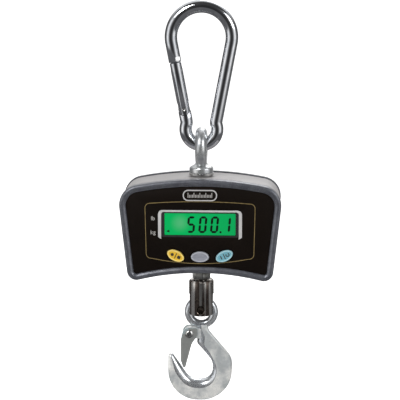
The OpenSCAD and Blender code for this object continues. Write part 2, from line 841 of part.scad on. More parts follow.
module pcb_screws() {
    color("silver") for (s = [-1, 1], z = pcb_post_z) {
        y_rod(s * pcb_post_x, z, panel_back_y + 1.2, pcb_back_y + 0.5, pcb_screw_d);
        y_rod(s * pcb_post_x, z, pcb_back_y, pcb_back_y + 1.3, 3.8);
    }
}

module key(place) {
    key_oval(key_front_y, panel_back_y, 0, place);
    key_oval(panel_back_y - eps, key_flange_y + eps, -0.4, place);
    key_oval(key_flange_y, key_flange_y + key_flange_t, key_lip, place);
    y_rod(place.x, place.y, key_flange_y + key_flange_t - eps, key_end_y, key_stem_d);
}

module unit_key() {
    color("gold") key(key_places[0]);
}

module tare_key() {
    color([0.65, 0.66, 0.72]) key(key_places[1]);
}

module power_key() {
    color([0.51, 0.76, 0.8]) key(key_places[2]);
}

// ---------------------------------------------------------------- batteries

module battery_box() {
    color("black") difference() {
        door_opening(box_front_y, box_back_y, box_wall);
        door_opening(box_front_y + box_wall, box_back_y + 1, 0);
        // Room for the top bush, which reaches into the wall when the bolt is thicker
        translate([0, 0, cell_top_z - bush_room])
            cylinder(h = -cell_top_z, d = bush_d + 2 * bush_room);
    }
}

module aa_cell(i) {
    z = box_mid_z + (i - 2) * aa_pitch;
    nub = 1.2;
    flip = i % 2 == 0 ? -1 : 1;
    color("darkorange") translate([0, aa_y, z]) rotate([0, 90 * flip, 0])
        translate([0, 0, -aa_len / 2]) {
            cylinder(h = aa_len - nub, d = aa_d);
            translate([0, 0, aa_len - nub - eps]) cylinder(h = nub + eps, d = 5.5);
        }
}

module aa_cell_1() {
    aa_cell(1);
}

module aa_cell_2() {
    aa_cell(2);
}

module aa_cell_3() {
    aa_cell(3);
}

module battery_contacts() {
    plate = 0.4;
    coil_len = cell_end_room - plate - 0.2;
    color("silver") for (i = [1:3], s = [-1, 1])
        translate([s * (box_in_w / 2 - 0.05), aa_y, box_mid_z + (i - 2) * aa_pitch])
            rotate([0, -90 * s, 0]) {
                translate([0, 0, plate / 2]) cube([9, 9, plate], center = true);
                translate([0, 0, plate - eps]) cylinder(h = coil_len + eps, d1 = 7, d2 = 5);
            }
}

// --------------------------------------------------------- swivel and hook

module swivel_sleeve() {
    color("gray") difference() {
        translate([0, 0, sleeve_bottom_z]) rotate_extrude() polygon(rounded([
            [0, 0, 0], [sleeve_d / 2, 0, 0.8], [sleeve_d / 2, sleeve_len, 0.8],
            [0, sleeve_len, 0]]));
        translate([0, 0, sleeve_bottom_z - 1])
            cylinder(h = sleeve_len - sleeve_cap + 1, d = sleeve_bore_d);
        translate([0, 0, sleeve_bottom_z]) cylinder(h = sleeve_len + 1, d = bolt_d + 2 * pin_gap);
        block([-sleeve_d, -sleeve_slot / 2, sleeve_bottom_z - 1],
              [sleeve_d, sleeve_slot / 2, slot_top_z]);
        y_rod(0, pin_z, -sleeve_d, sleeve_d, pin_d + 2 * pin_gap);
    }
}

module thrust_races() {
    color("silver") {
        z_tube(bearing_top_z - race_t, bearing_top_z, race_d, bolt_d + 0.4);
        z_tube(bearing_bottom_z, bearing_bottom_z + race_t, race_d, bolt_d + 0.4);
    }
}

module thrust_balls() {
    r = (race_d + bolt_d + 0.4) / 4;
    color("silver") for (i = [1:ball_count]) rotate([0, 0, 360 * i / ball_count])
        translate([r, 0, bearing_bottom_z + race_t + ball_d / 2])
            sphere(d = ball_d - 2 * eps, $fn = 24);
}

module hook_pin() {
    reach = sleeve_d / 2 - 0.9;
    color("dimgray") y_rod(0, pin_z, -reach, reach, pin_d);
}

// Offsets are from the middle of the bowl; radii are the third figures
function hook_outline() = rounded([for (c = [
    [5.2, 34.5, 0], [5.6, 29.5, 5], [25, 6.8, 14], [24.6, -28.2, 25],
    [-26, -28.2, 24], [-27.2, 10.2, 2.9], [-21.4, 8.4, 2.4], [-8.8, -11.4, 8],
    [8.8, -11, 8.2], [9.4, 4.8, 7], [-4.8, 20, 3], [-2.4, 24.6, 0],
    [-4.2, 34.5, 0]]) [c.x, c.y + bowl_z, c.z]]);

// The stretch near the latch is thinner, so that the latch can straddle it
module hook() {
    flat_z = bowl_z + 12;
    color("lightgray") {
        translate([0, 0, hook_eye_z]) rotate([90, 0, 0])
            rotate_extrude() translate([hook_eye_mid_r, 0]) circle(d = hook_eye_bar_d);
        intersection() {
            slab(-hook_t / 2, hook_t / 2) polygon(hook_outline());
            block([-40, -20, bowl_z - 40], [40, 20, flat_z]);
        }
        difference() {
            union() {
                slab(-neck_t / 2, neck_t / 2) polygon(hook_outline());
                y_rod(latch_pivot.x, latch_pivot.y, -neck_t / 2, neck_t / 2, 2 * lug_r);
                block([latch_pivot.x, -neck_t / 2, latch_pivot.y - 4],
                      [0, neck_t / 2, latch_pivot.y + 4]);
            }
            y_rod(latch_pivot.x, latch_pivot.y, -neck_t, neck_t,
                  latch_rivet_d + 2 * pin_gap);
            translate([0, 0, hook_eye_z]) rotate([90, 0, 0])
                cylinder(h = 2 * hook_t, d = hook_eye_hole_d + 3, center = true);
        }
    }
}

// The latch seen from the front, with its web along its left edge
function latch_outline() = rounded([for (c = [
    [-15.2, 32.4, 5.2], [-2.6, 32.4, 1.6], [-3, 26, 1.5], [-7.6, 19, 6],
    [-12.7, -0.5, 0.9], [-14.5, -0.5, 0.5], [-16.4, 5.4, 0.8], [-16.4, 23.5, 2],
    [-15.2, 25, 1]]) [c.x, c.y + bowl_z, c.z]]);

module latch() {
    color("lightslategray") difference() {
        slab(-latch_out_y, latch_out_y) polygon(latch_outline());
        slab(-latch_in, latch_in) translate([latch_sheet, 0]) polygon(latch_outline());
        slab(-latch_in, latch_in) translate([latch_sheet, 0.5 * lug_r]) polygon(latch_outline());
        block([latch_pivot.x - lug_r - 6, -latch_in, latch_pivot.y - lug_r - move_gap],
              [0, latch_in, latch_pivot.y + lug_r + 5]);
        y_rod(latch_pivot.x, latch_pivot.y, -hook_t, hook_t, latch_rivet_d + 2 * pin_gap);
    }
}

module latch_rivet() {
    head_y = latch_out_y + 0.2;
    color("silver") {
        y_rod(latch_pivot.x, latch_pivot.y, -head_y - eps, head_y + eps, latch_rivet_d);
        for (s = [-1, 1]) translate([latch_pivot.x, s * head_y, latch_pivot.y])
            rotate([-90 * s, 0, 0]) cylinder(h = latch_head_h, d1 = latch_head_d, d2 = 3.6);
    }
}

// Return spring coiled beside the hook's lug, with one leg on the latch
module latch_spring() {
    color("dimgray") block([latch_pivot.x - lug_r - 1, -0.6, latch_pivot.y - lug_r - 7],
                           [latch_pivot.x - lug_r - 0.4, 0.6, latch_pivot.y - lug_r - 1]);
}

placed() carabiner_frame();
placed() gate_rivet();
placed() carabiner_gate();
placed() gate_plunger();
placed() gate_spring();
placed() eye_bolt();
placed() eye_washer();
placed() top_bush();
placed() load_cell();
placed() strain_gauges();
placed() cell_lead();
placed() swivel_bolt();
placed() lower_washer();
placed() jam_nut();
placed() bottom_bush();
placed() main_housing();
placed() front_bezel();
placed() rear_cover();
placed() front_seal();
placed() rear_seal();
placed() case_screws();
placed() front_panel();
placed() display_window();
placed() display_trim();
placed() badge_plate();
placed() lcd_panel();
placed() backlight();
placed() main_pcb();
placed() pcb_chips();
placed() tact_switches();
placed() pcb_screws();
placed() unit_key();
placed() tare_key();
placed() power_key();
placed() battery_box();
placed() aa_cell_1();
placed() aa_cell_2();
placed() aa_cell_3();
placed() battery_contacts();
placed() battery_door();
placed() door_screw();
placed() swivel_sleeve();
placed() thrust_races();
placed() thrust_balls();
placed() hook_pin();
placed() hook();
placed() latch_rivet();
placed() latch();
placed() latch_spring();
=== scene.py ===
"""Digital hanging scale: the looks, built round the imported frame.

Every length is in millimetres until an operator is called, and +Z is up with
the front of the case towards -Y. The origin is the hang point, on the inside
of the snap hook's top bend.
"""

import logging
import math
from collections.abc import Callable, Sequence
from dataclasses import dataclass, field
from enum import Enum

import bmesh
import bpy
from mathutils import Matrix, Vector


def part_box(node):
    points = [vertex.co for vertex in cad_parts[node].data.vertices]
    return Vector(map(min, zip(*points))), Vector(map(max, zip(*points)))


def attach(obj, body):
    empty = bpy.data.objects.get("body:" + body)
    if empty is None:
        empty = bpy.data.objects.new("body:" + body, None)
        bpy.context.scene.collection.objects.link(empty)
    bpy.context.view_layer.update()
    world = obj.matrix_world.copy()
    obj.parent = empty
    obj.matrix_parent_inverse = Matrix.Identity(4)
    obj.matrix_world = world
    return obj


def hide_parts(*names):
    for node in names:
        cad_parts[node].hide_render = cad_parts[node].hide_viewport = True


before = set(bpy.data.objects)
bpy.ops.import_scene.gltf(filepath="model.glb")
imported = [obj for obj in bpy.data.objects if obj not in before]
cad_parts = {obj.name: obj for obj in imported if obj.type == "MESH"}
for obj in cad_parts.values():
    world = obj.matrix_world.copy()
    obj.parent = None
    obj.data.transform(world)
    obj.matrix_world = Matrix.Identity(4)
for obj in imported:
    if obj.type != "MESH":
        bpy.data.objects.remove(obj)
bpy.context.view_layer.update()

MM = 0.001
MERGE = 0.0005
FLAT_ENOUGH = 0.9
Flat = tuple[float, float]
Point = tuple[float, float, float]
Socket = bpy.types.NodeSocket
log = logging.getLogger("hanging_scale")


class Side(Enum):
    """The two mirror halves of a part, by the sign of X."""

    LEFT = -1
    RIGHT = 1


class Axis(Enum):
    """The way a disc faces, with the turn that makes a flat disc face it."""

    X = (0.0, math.pi / 2, 0.0)
    Y = (math.pi / 2, 0.0, 0.0)
    Z = (0.0, 0.0, 0.0)


def node_box(node: str) -> tuple[Point, Point]:
    """Gives a CAD node's box in millimetres.

    Args:
        node: name of the CAD node.

    Returns:
        Its lowest and highest corners.
    """
    low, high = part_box(node)
    return tuple(low / MM), tuple(high / MM)


# ------------------------------------------------------------------ outlines


def arc(centre: Flat, radius: float, start: float, end: float, steps: int) -> list[Flat]:
    """Gives points along an arc.

    Args:
        centre: middle of the arc, as (x, z).
        radius: radius of the arc.
        start: angle of the first point, in degrees from +X towards +Z.
        end: angle of the last point.
        steps: number of equal steps between the two.

    Returns:
        The points, both ends included.
    """
    turns = [math.radians(start + (end - start) * i / steps) for i in range(steps + 1)]
    return [(centre[0] + radius * math.cos(a), centre[1] + radius * math.sin(a)) for a in turns]


def rounded(corners: Sequence[Point], step_deg: float = 9.0) -> list[Flat]:
    """Rounds the corners of a polygon.

    Args:
        corners: the corners in order, each (x, z, radius).
        step_deg: largest turn between two points of a rounded corner.

    Returns:
        The outline's points.
    """
    points: list[Flat] = []
    count = len(corners)
    for i, (x, z, radius) in enumerate(corners):
        corner = Vector((x, z))
        if radius == 0:
            points.append((x, z))
            continue
        back = (Vector(corners[i - 1][:2]) - corner).normalized()
        ahead = (Vector(corners[(i + 1) % count][:2]) - corner).normalized()
        half = math.acos(max(-1.0, min(1.0, back.dot(ahead)))) / 2
        centre = corner + (back + ahead).normalized() * radius / math.sin(half)
        first = corner + back * radius / math.tan(half) - centre
        last = corner + ahead * radius / math.tan(half) - centre
        start = math.degrees(math.atan2(first.y, first.x))
        turn = (math.degrees(math.atan2(last.y, last.x)) - start + 180) % 360 - 180
        steps = max(2, math.ceil(abs(turn) / step_deg))
        points += arc(tuple(centre), radius, start, start + turn, steps)
    return points


def oblong(width: float, height: float, radius: float, middle: Flat = (0, 0)) -> list[Flat]:
    """Gives a rectangle with round corners.

    Args:
        width: size along X.
        height: size along Z.
        radius: radius of the four corners.
        middle: centre of the rectangle.

    Returns:
        The outline's points.
    """
    x, z = middle
    w, h = width / 2, height / 2
    return rounded([(x + w, z - h, radius), (x + w, z + h, radius),
                    (x - w, z + h, radius), (x - w, z - h, radius)])


def both_ends(half: Sequence[Flat]) -> list[Flat]:
    """Gives a lathe profile that is the same at both ends."""
    return [*half, *((r, -h) for r, h in reversed(half))]


# -------------------------------------------------------------- mesh shaping


def metres(point: Point) -> Point:
    """Turns a point in millimetres into metres."""
    return tuple(c * MM for c in point)


def put_down() -> None:
    """Leaves edit mode, if a mesh is open, and selects nothing."""
    if bpy.context.object and bpy.context.object.mode == "EDIT":
        bpy.ops.object.mode_set(mode="OBJECT")
    bpy.ops.object.select_all(action="DESELECT")


class Work:
    """A mesh that is being shaped with the mesh operators, in edit mode."""

    def __init__(self, name: str) -> None:
        """Takes the primitive that was just added and opens it.

        Args:
            name: name of the finished piece.
        """
        self.obj = bpy.context.object
        self.obj.name = name
        self.obj.data.name = name
        bpy.ops.object.transform_apply(location=True, rotation=True, scale=True)
        bpy.ops.object.mode_set(mode="EDIT")
        bpy.ops.mesh.select_mode(type="VERT")

    # -- starts

    @classmethod
    def disc(cls, name: str, centre: Point, radius: float, axis: Axis = Axis.Z,
             sides: int = 48, filled: bool = True, tilt: float = 0.0) -> "Work":
        """Starts from a flat disc or ring.

        Args:
            name: name of the piece.
            centre: middle of the disc.
            radius: radius of the disc.
            axis: the way it faces.
            sides: number of sides.
            filled: whether the disc has a face.
            tilt: extra turn about Y, in degrees, from +Z towards +X.

        Returns:
            The new work, with all of it selected.
        """
        put_down()
        turn = (axis.value[0], axis.value[1] + math.radians(tilt), axis.value[2])
        bpy.ops.mesh.primitive_circle_add(
            vertices=sides, radius=radius * MM, fill_type="NGON" if filled else "NOTHING",
            location=metres(centre), rotation=turn)
        return cls(name)

    @classmethod
    def traced(cls, name: str, outline: Sequence[Flat], depth: float) -> "Work":
        """Draws an outline from one vertex, extruded point by point, and fills it.

        Args:
            name: name of the piece.
            outline: the outline's points, as (x, z).
            depth: Y of the face.

        Returns:
            The new work, with its face selected.
        """
        put_down()
        bpy.ops.mesh.primitive_plane_add(size=MM, location=(0, 0, 0))
        work = cls(name)
        bpy.ops.mesh.merge(type="CENTER")
        work.move(outline[0][0], depth, outline[0][1])
        for here, there in zip(outline, [*outline[1:], outline[0]]):
            work.extrude(there[0] - here[0], 0, there[1] - here[1])
        work.pick_all()
        bpy.ops.mesh.remove_doubles(threshold=MERGE * MM)
        bpy.ops.mesh.edge_face_add()
        return work

    @classmethod
    def slab(cls, name: str, outline: Sequence[Flat], back: float, front: float) -> "Work":
        """Draws an outline and extrudes it between two depths.

        Args:
            name: name of the piece.
            outline: the outline's points, as (x, z).
            back: Y of the face drawn first.
            front: Y of the face it is extruded to.

        Returns:
            The new work, with that second face selected.
        """
        work = cls.traced(name, outline, back).extrude(0, front - back, 0)
        work.pick_all()
        bpy.ops.mesh.normals_make_consistent(inside=False)
        return work.pick_faces(lambda c, n: abs(n.y) > FLAT_ENOUGH and abs(c.y - front) < 0.01)

    @classmethod
    def torus(cls, name: str, centre: Point, ring_r: float, bar_r: float, axis: Axis,
              steps: int = 96, sides: int = 32) -> "Work":
        """Starts from a closed ring of round bar.

        Args:
            name: name of the piece.
            centre: middle of the ring.
            ring_r: radius of the bar's centre line.
            bar_r: radius of the bar.
            axis: the way the ring faces.
            steps: number of steps round the ring.
            sides: number of sides of the bar.

        Returns:
            The new work, with all of it selected.
        """
        put_down()
        bpy.ops.mesh.primitive_torus_add(
            location=metres(centre), rotation=axis.value,
            major_segments=steps, minor_segments=sides,
            major_radius=ring_r * MM, minor_radius=bar_r * MM)
        return cls(name)

    @classmethod
    def turned(cls, name: str, centre: Point, profile: Sequence[Flat], axis: Axis = Axis.Z,
               sides: int = 48, closed: bool = False) -> "Work":
        """Turns a profile as on a lathe, by extruding and resizing a disc.

        Args:
            name: name of the piece.
            centre: the point that the profile's heights start from.
            profile: (radius, height along the axis) in order.
            axis: the lathe's axis.
            sides: number of sides.
            closed: whether the profile runs back to its start, as a bored part's does.

        Returns:
            The new work, with nothing selected.
        """
        way = {Axis.X: (1, 0, 0), Axis.Y: (0, -1, 0), Axis.Z: (0, 0, 1)}[axis]
        at = [tuple(c + w * h for c, w in zip(centre, way)) for _, h in profile]
        work = cls.disc(name, at[0], profile[0][0], axis, sides, filled=not closed)
        stops = list(zip(profile, at))
        if closed:
            stops.append(stops[0])
        for (before, _), (now, spot) in zip(stops, stops[1:]):
            rise = now[1] - before[1]
            work.extrude(*(w * rise for w in way))
            work.resize(now[0] / before[0], spot)
        if closed:
            work.pick_all()
            bpy.ops.mesh.remove_doubles(threshold=MERGE * MM)
        work.pick_none()
        return work

    # -- selection, by place or normal

    def enter(self) -> None:
        """Opens this mesh alone, if it isn't open already."""
        if bpy.context.object is not self.obj or self.obj.mode != "EDIT":
            put_down()
            bpy.context.view_layer.objects.active = self.obj
            self.obj.select_set(True)
            bpy.ops.object.mode_set(mode="EDIT")

    def mesh(self) -> bmesh.types.BMesh:
        """Opens this mesh and gives it."""
        self.enter()
        return bmesh.from_edit_mesh(self.obj.data)

    def pick_all(self) -> "Work":
        """Selects everything."""
        self.enter()
        bpy.ops.mesh.select_all(action="SELECT")
        return self

    def pick_none(self) -> "Work":
        """Selects nothing."""
        self.enter()
        bpy.ops.mesh.select_all(action="DESELECT")
        return self

    def pick(self, mode: str, test: Callable[[object], bool]) -> "Work":
        """Selects faces or edges.

        Args:
            mode: FACE or EDGE.
            test: says yes or no for one of them.

        Returns:
            This work.
        """
        self.pick_none()
        bpy.ops.mesh.select_mode(type=mode)
        mesh = self.mesh()
        for element in mesh.faces if mode == "FACE" else mesh.edges:
            element.select_set(test(element))
        mesh.select_flush_mode()
        bmesh.update_edit_mesh(self.obj.data)
        return self

    def pick_faces(self, test: Callable[[Vector, Vector], bool]) -> "Work":
        """Selects faces by their centre, in millimetres, and their normal."""
        return self.pick("FACE", lambda f: test(f.calc_center_median() / MM, f.normal))

    def pick_edges(self, test: Callable[[Vector, Vector], bool]) -> "Work":
        """Selects edges by their two ends, in millimetres."""
        return self.pick("EDGE", lambda e: test(e.verts[0].co / MM, e.verts[1].co / MM))

    def place_ring(self, points: Sequence[Point]) -> "Work":
        """Sets the selected ring's vertices, in the ring's own order, onto points.

        Args:
            points: the new places, in millimetres.

        Returns:
            This work.
        """
        mesh = self.mesh()
        mesh.verts.ensure_lookup_table()
        ring = sorted((v for v in mesh.verts if v.select), key=lambda v: v.index)
        for vertex, point in zip(ring, points):
            vertex.co = Vector(point) * MM
        bmesh.update_edit_mesh(self.obj.data)
        return self

    # -- operators

    def extrude(self, x: float, y: float, z: float) -> "Work":
        """Extrudes what is selected along a vector."""
        self.enter()
        bpy.ops.mesh.extrude_region_move(
            TRANSFORM_OT_translate={"value": metres((x, y, z))})
        return self

    def move(self, x: float, y: float, z: float) -> "Work":
        """Moves what is selected."""
        self.enter()
        bpy.ops.transform.translate(value=metres((x, y, z)))
        return self

    def resize(self, share: float | Point, centre: Point) -> "Work":
        """Scales what is selected about a point, evenly or along each axis."""
        self.enter()
        value = share if isinstance(share, tuple) else (share,) * 3
        bpy.ops.transform.resize(value=value, center_override=metres(centre))
        return self

    def turn(self, degrees: float, centre: Point, axis: str = "Y") -> "Work":
        """Turns what is selected about a point, right-handed about an axis."""
        self.enter()
        bpy.ops.transform.rotate(value=-math.radians(degrees), orient_axis=axis,
                                 center_override=metres(centre))
        return self

    def inset(self, width: float, rise: float = 0.0) -> "Work":
        """Insets the selected face, and raises it along its normal."""
        self.enter()
        bpy.ops.mesh.inset(thickness=width * MM, depth=rise * MM, use_even_offset=True)
        return self

    def spin(self, centre: Flat, degrees: float, steps: int) -> "Work":
        """Sweeps the selected end round a bend in the XZ plane, from +X towards +Z."""
        self.enter()
        bpy.ops.mesh.spin(steps=steps, angle=math.radians(degrees), axis=(0, 1, 0),
                          center=metres((centre[0], 0, centre[1])))
        return self

    def delete(self, kind: str = "FACE") -> "Work":
        """Deletes what is selected."""
        self.enter()
        bpy.ops.mesh.delete(type=kind)
        return self

    def bridge(self) -> "Work":
        """Joins two open rims with faces."""
        self.enter()
        bpy.ops.mesh.bridge_edge_loops()
        return self

    # -- steps made of several operators

    def open_back(self, back_y: float) -> "Work":
        """Drives the selected face through to a slab's other face, and opens both.

        Args:
            back_y: Y of that other face.

        Returns:
            This work.
        """
        here = next(f for f in self.mesh().faces if f.select).calc_center_median().y / MM
        self.extrude(0, back_y - here, 0)
        self.delete()
        self.pick_faces(lambda c, n: abs(n.y) > FLAT_ENOUGH and abs(c.y - back_y) < 0.01)
        self.delete("ONLY_FACE")
        self.pick_edges(lambda a, b: abs(a.y - back_y) < 0.01 and abs(b.y - back_y) < 0.01)
        self.bridge()
        return self

    def close(self) -> None:
        """Leaves edit mode with doubles merged and every face turned outwards."""
        self.pick_all()
        bpy.ops.mesh.remove_doubles(threshold=MERGE * MM)
        bpy.ops.mesh.normals_make_consistent(inside=False)
        self.pick_none()
        put_down()
        self.obj.select_set(True)
        bpy.context.view_layer.objects.active = self.obj

    def modify(self, kind: str, **settings: object) -> "Work":
        """Adds a modifier, sets it and applies it.

        Args:
            kind: the modifier's type.
            **settings: its values.

        Returns:
            This work.
        """
        self.close()
        bpy.ops.object.modifier_add(type=kind)
        modifier = self.obj.modifiers[-1]
        for name, value in settings.items():
            setattr(modifier, name, value)
        bpy.ops.object.modifier_apply(modifier=modifier.name)
        return self

    def soften(self, width: float, segments: int = 3, angle: float = 35.0) -> "Work":
        """Bevels every edge sharper than an angle."""
        return self.modify("BEVEL", width=width * MM, segments=segments, limit_method="ANGLE",
                           angle_limit=math.radians(angle), use_clamp_overlap=True,
                           miter_outer="MITER_SHARP")

    def combine(self, other: "Work", how: str) -> "Work":
        """Cuts with another work or joins it on, and uses that work up.

        Args:
            other: the other work.
            how: DIFFERENCE, UNION or INTERSECT.

        Returns:
            This work.
        """
        other.close()
        self.modify("BOOLEAN", operation=how, solver="EXACT", object=other.obj)
        bpy.data.objects.remove(other.obj)
        return self

    def cut(self, other: "Work") -> "Work":
        """Cuts with another work."""
        return self.combine(other, "DIFFERENCE")

    def add(self, other: "Work") -> "Work":
        """Joins another work on."""
        return self.combine(other, "UNION")

    def join(self, other: "Work") -> "Work":
        """Takes another work in as a separate shell of the same piece."""
        other.close()
        self.close()
        other.obj.select_set(True)
        bpy.ops.object.join()
        return self

    def coat(self, *coatings: "Finish") -> "Work":
        """Gives the whole piece its materials, in the order of their slots."""
        for coating in coatings:
            self.obj.data.materials.append(coating.build())
        return self

    def paint_faces(self, coating: "Finish") -> "Work":
        """Gives the selected faces a second material."""
        self.enter()
        names = [m.name for m in self.obj.data.materials]
        if coating.name not in names:
            self.coat(coating)
            names.append(coating.name)
        self.obj.active_material_index = names.index(coating.name)
        bpy.ops.object.material_slot_assign()
        return self

    def finish(self, body: str, coating: "Finish | Backlight", slot: str | None = None,
               replaces: Sequence[str] = (), smooth: float = 35.0) -> None:
        """Closes the piece, dresses it and gives it to its body.

        Args:
            body: CAD body that the piece moves with.
            coating: its finish, where no face has another.
            slot: the record's material slot; not used.
            replaces: CAD nodes that the piece stands for.
            smooth: edges under this angle are shaded smooth, in degrees.
        """
        self.close()
        bpy.ops.object.shade_smooth_by_angle(angle=math.radians(smooth))
        if self.obj.data.materials:
            self.obj.data.materials[0] = coating.build()
        else:
            self.coat(coating)
        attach(self.obj, body)
        if replaces:
            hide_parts(*replaces)
        log.info("%s: %d faces on %s", self.obj.name, len(self.obj.data.polygons), body)


def box_work(name: str, low: Point, high: Point) -> Work:
    """Starts a block between two corners, drawn as a rectangle and extruded."""
    outline = [(low[0], low[2]), (high[0], low[2]), (high[0], high[2]), (low[0], high[2])]
    return Work.traced(name, outline, low[1]).extrude(0, high[1] - low[1], 0)


def rod_work(name: str, x: float, z: float, y0: float, y1: float, radius: float,
             sides: int = 40) -> Work:
    """Starts a round bar along Y between two depths."""
    return Work.disc(name, (x, y0, z), radius, Axis.Y, sides).extrude(0, y1 - y0, 0)


# ----------------------------------------------------------------- materials


def linear(code: str) -> tuple[float, float, float, float]:
    """Turns an sRGB hex colour into a linear one.

    Args:
        code: the colour, such as "#8090a0".

    Returns:
        Red, green, blue and an alpha of 1.
    """
    parts = [int(code[i:i + 2], 16) / 255 for i in (1, 3, 5)]
    return (*(p / 12.92 if p <= 0.04045 else ((p + 0.055) / 1.055) ** 2.4 for p in parts), 1.0)


def add_node(tree: bpy.types.NodeTree, kind: str, inputs: dict | None = None,
             **settings: object) -> bpy.types.Node:
    """Adds a node with its settings and links.

    Args:
        tree: the material's node tree.
        kind: the node's type.
        inputs: for each input, a value to set, a hex colour or an output socket to link.
        **settings: properties of the node itself.

    Returns:
        The new node.
    """
    node = tree.nodes.new(kind)
    for name, value in settings.items():
        setattr(node, name, value)
    for key, value in (inputs or {}).items():
        if isinstance(value, bpy.types.NodeSocket):
            tree.links.new(value, node.inputs[key])
        else:
            node.inputs[key].default_value = linear(value) if isinstance(value, str) else value
    return node


def place_of(tree: bpy.types.NodeTree) -> Socket:
    """Gives the object's own coordinates."""
    return add_node(tree, "ShaderNodeTexCoord").outputs["Object"]


def noise(tree: bpy.types.NodeTree, place: Socket, size_mm: float, detail: float,
          rough: float = 0.5) -> Socket:
    """Adds a noise whose features are that many millimetres wide."""
    return add_node(tree, "ShaderNodeTexNoise", {
        "Vector": place, "Scale": 1 / (size_mm * MM), "Detail": detail,
        "Roughness": rough}).outputs["Fac"]


def spread(tree: bpy.types.NodeTree, value: Socket, low: float, high: float,
           to_low: float = 0.0, to_high: float = 1.0, **settings: object) -> Socket:
    """Maps a value from one range to another, clamped at both ends."""
    return add_node(tree, "ShaderNodeMapRange", {
        "Value": value, "From Min": low, "From Max": high, "To Min": to_low,
        "To Max": to_high}, **settings).outputs["Result"]


def mix(tree: bpy.types.NodeTree, share: Socket | float, first: object,
        second: object) -> Socket:
    """Mixes two colours, each a socket, a hex code or a linear colour."""
    return add_node(tree, "ShaderNodeMix", {0: share, 6: first, 7: second},
                    data_type="RGBA").outputs[2]


def sums(tree: bpy.types.NodeTree, operation: str, *terms: Socket | float) -> Socket:
    """Works one sum on sockets and numbers."""
    return add_node(tree, "ShaderNodeMath", dict(enumerate(terms)),
                    operation=operation).outputs[0]


def bare_material(name: str) -> bpy.types.Material:
    """Makes a material whose node tree is still empty."""
    material = bpy.data.materials.new(name)
    material.use_nodes = True
    material.node_tree.nodes.clear()
    return material


@dataclass(frozen=True)
class Finish:
    """A surface with two tones, uneven gloss, fine relief and, if it has one, a coat."""

    name: str
    tone: str
    other_tone: str
    metallic: float = 0.0
    roughness: float = 0.4
    uneven: float = 0.08
    blotch_mm: float = 9.0
    grain_mm: float = 0.4
    grain_stretch: Point = (1.0, 1.0, 1.0)
    relief: float = 0.05
    specular: float = 0.5
    coat: float = 0.0
    coat_roughness: float = 0.1
    worn_tone: str | None = None
    # Pale upright streaks: painted highlights standing in for reflections.
    highlight_streak_tone: str | None = None
    highlight_streak_mm: float = 3.0
    speck_tone: str | None = None
    speck_mm: float = 0.5
    speck_share: float = 0.68

    def build(self) -> bpy.types.Material:
        """Makes the material, once.

        Returns:
            The Blender material of that name.
        """
        known = bpy.data.materials.get(self.name)
        if known:
            return known
        material = bare_material(self.name)
        tree = material.node_tree
        place = place_of(tree)
        blotches = noise(tree, place, self.blotch_mm, 5.0, 0.6)
        colour = mix(tree, spread(tree, blotches, 0.36, 0.64), self.tone, self.other_tone)
        along = add_node(tree, "ShaderNodeMapping", {
            "Vector": place, "Scale": self.grain_stretch}).outputs["Vector"]
        grain = noise(tree, along, self.grain_mm, 3.0)
        # Painted highlight: pale upright streaks over the colour.
        if self.highlight_streak_tone:
            colour = self.painted_highlight_streaks(tree, place, colour)
        if self.speck_tone:
            spots = noise(tree, place, self.speck_mm, 1.0)
            shown = spread(tree, spots, self.speck_share, self.speck_share + 0.05)
            colour = mix(tree, shown, colour, self.speck_tone)
        if self.worn_tone:
            colour = self.wear(tree, blotches, colour)
        gloss = spread(tree, sums(tree, "MULTIPLY", blotches, grain), 0.1, 0.42,
                       max(0.02, self.roughness - self.uneven), self.roughness + self.uneven)
        relief = add_node(tree, "ShaderNodeBump", {
            "Height": grain, "Strength": self.relief, "Distance": 0.1 * MM}).outputs["Normal"]
        surface = add_node(tree, "ShaderNodeBsdfPrincipled", {
            "Base Color": colour, "Roughness": gloss, "Normal": relief,
            "Metallic": self.metallic, "Specular IOR Level": self.specular,
            "Coat Weight": self.coat, "Coat Roughness": self.coat_roughness})
        add_node(tree, "ShaderNodeOutputMaterial", {"Surface": surface.outputs[0]})
        material.diffuse_color = linear(self.tone)
        return material

    def painted_highlight_streaks(self, tree: bpy.types.NodeTree, place: Socket, colour: Socket) -> Socket:
        """Paints long upright pale streaks over the colour: painted highlights on polished bar stock.

        Args:
            tree: the material's node tree.
            place: the coordinates.
            colour: the colour so far.

        Returns:
            The colour with its painted highlight streaks.
        """
        drawn_out = add_node(tree, "ShaderNodeMapping", {
            "Vector": place, "Scale": (1.0, 1.0, 0.04)}).outputs["Vector"]
        lines = noise(tree, drawn_out, self.highlight_streak_mm, 2.0)
        return mix(tree, spread(tree, lines, 0.5, 0.6), colour, self.highlight_streak_tone)

    def wear(self, tree: bpy.types.NodeTree, blotches: Socket, colour: Socket) -> Socket:
        """Rubs the finish through along edges, more in some places than others.

        Args:
            tree: the material's node tree.
            blotches: the slow noise that breaks the wear up.
            colour: the colour so far.

        Returns:
            The colour with its worn edges.
        """
        edges = add_node(tree, "ShaderNodeNewGeometry").outputs["Pointiness"]
        broken = sums(tree, "MULTIPLY_ADD", blotches, 0.06, edges)
        return mix(tree, spread(tree, broken, 0.58, 0.62), colour, self.worn_tone)


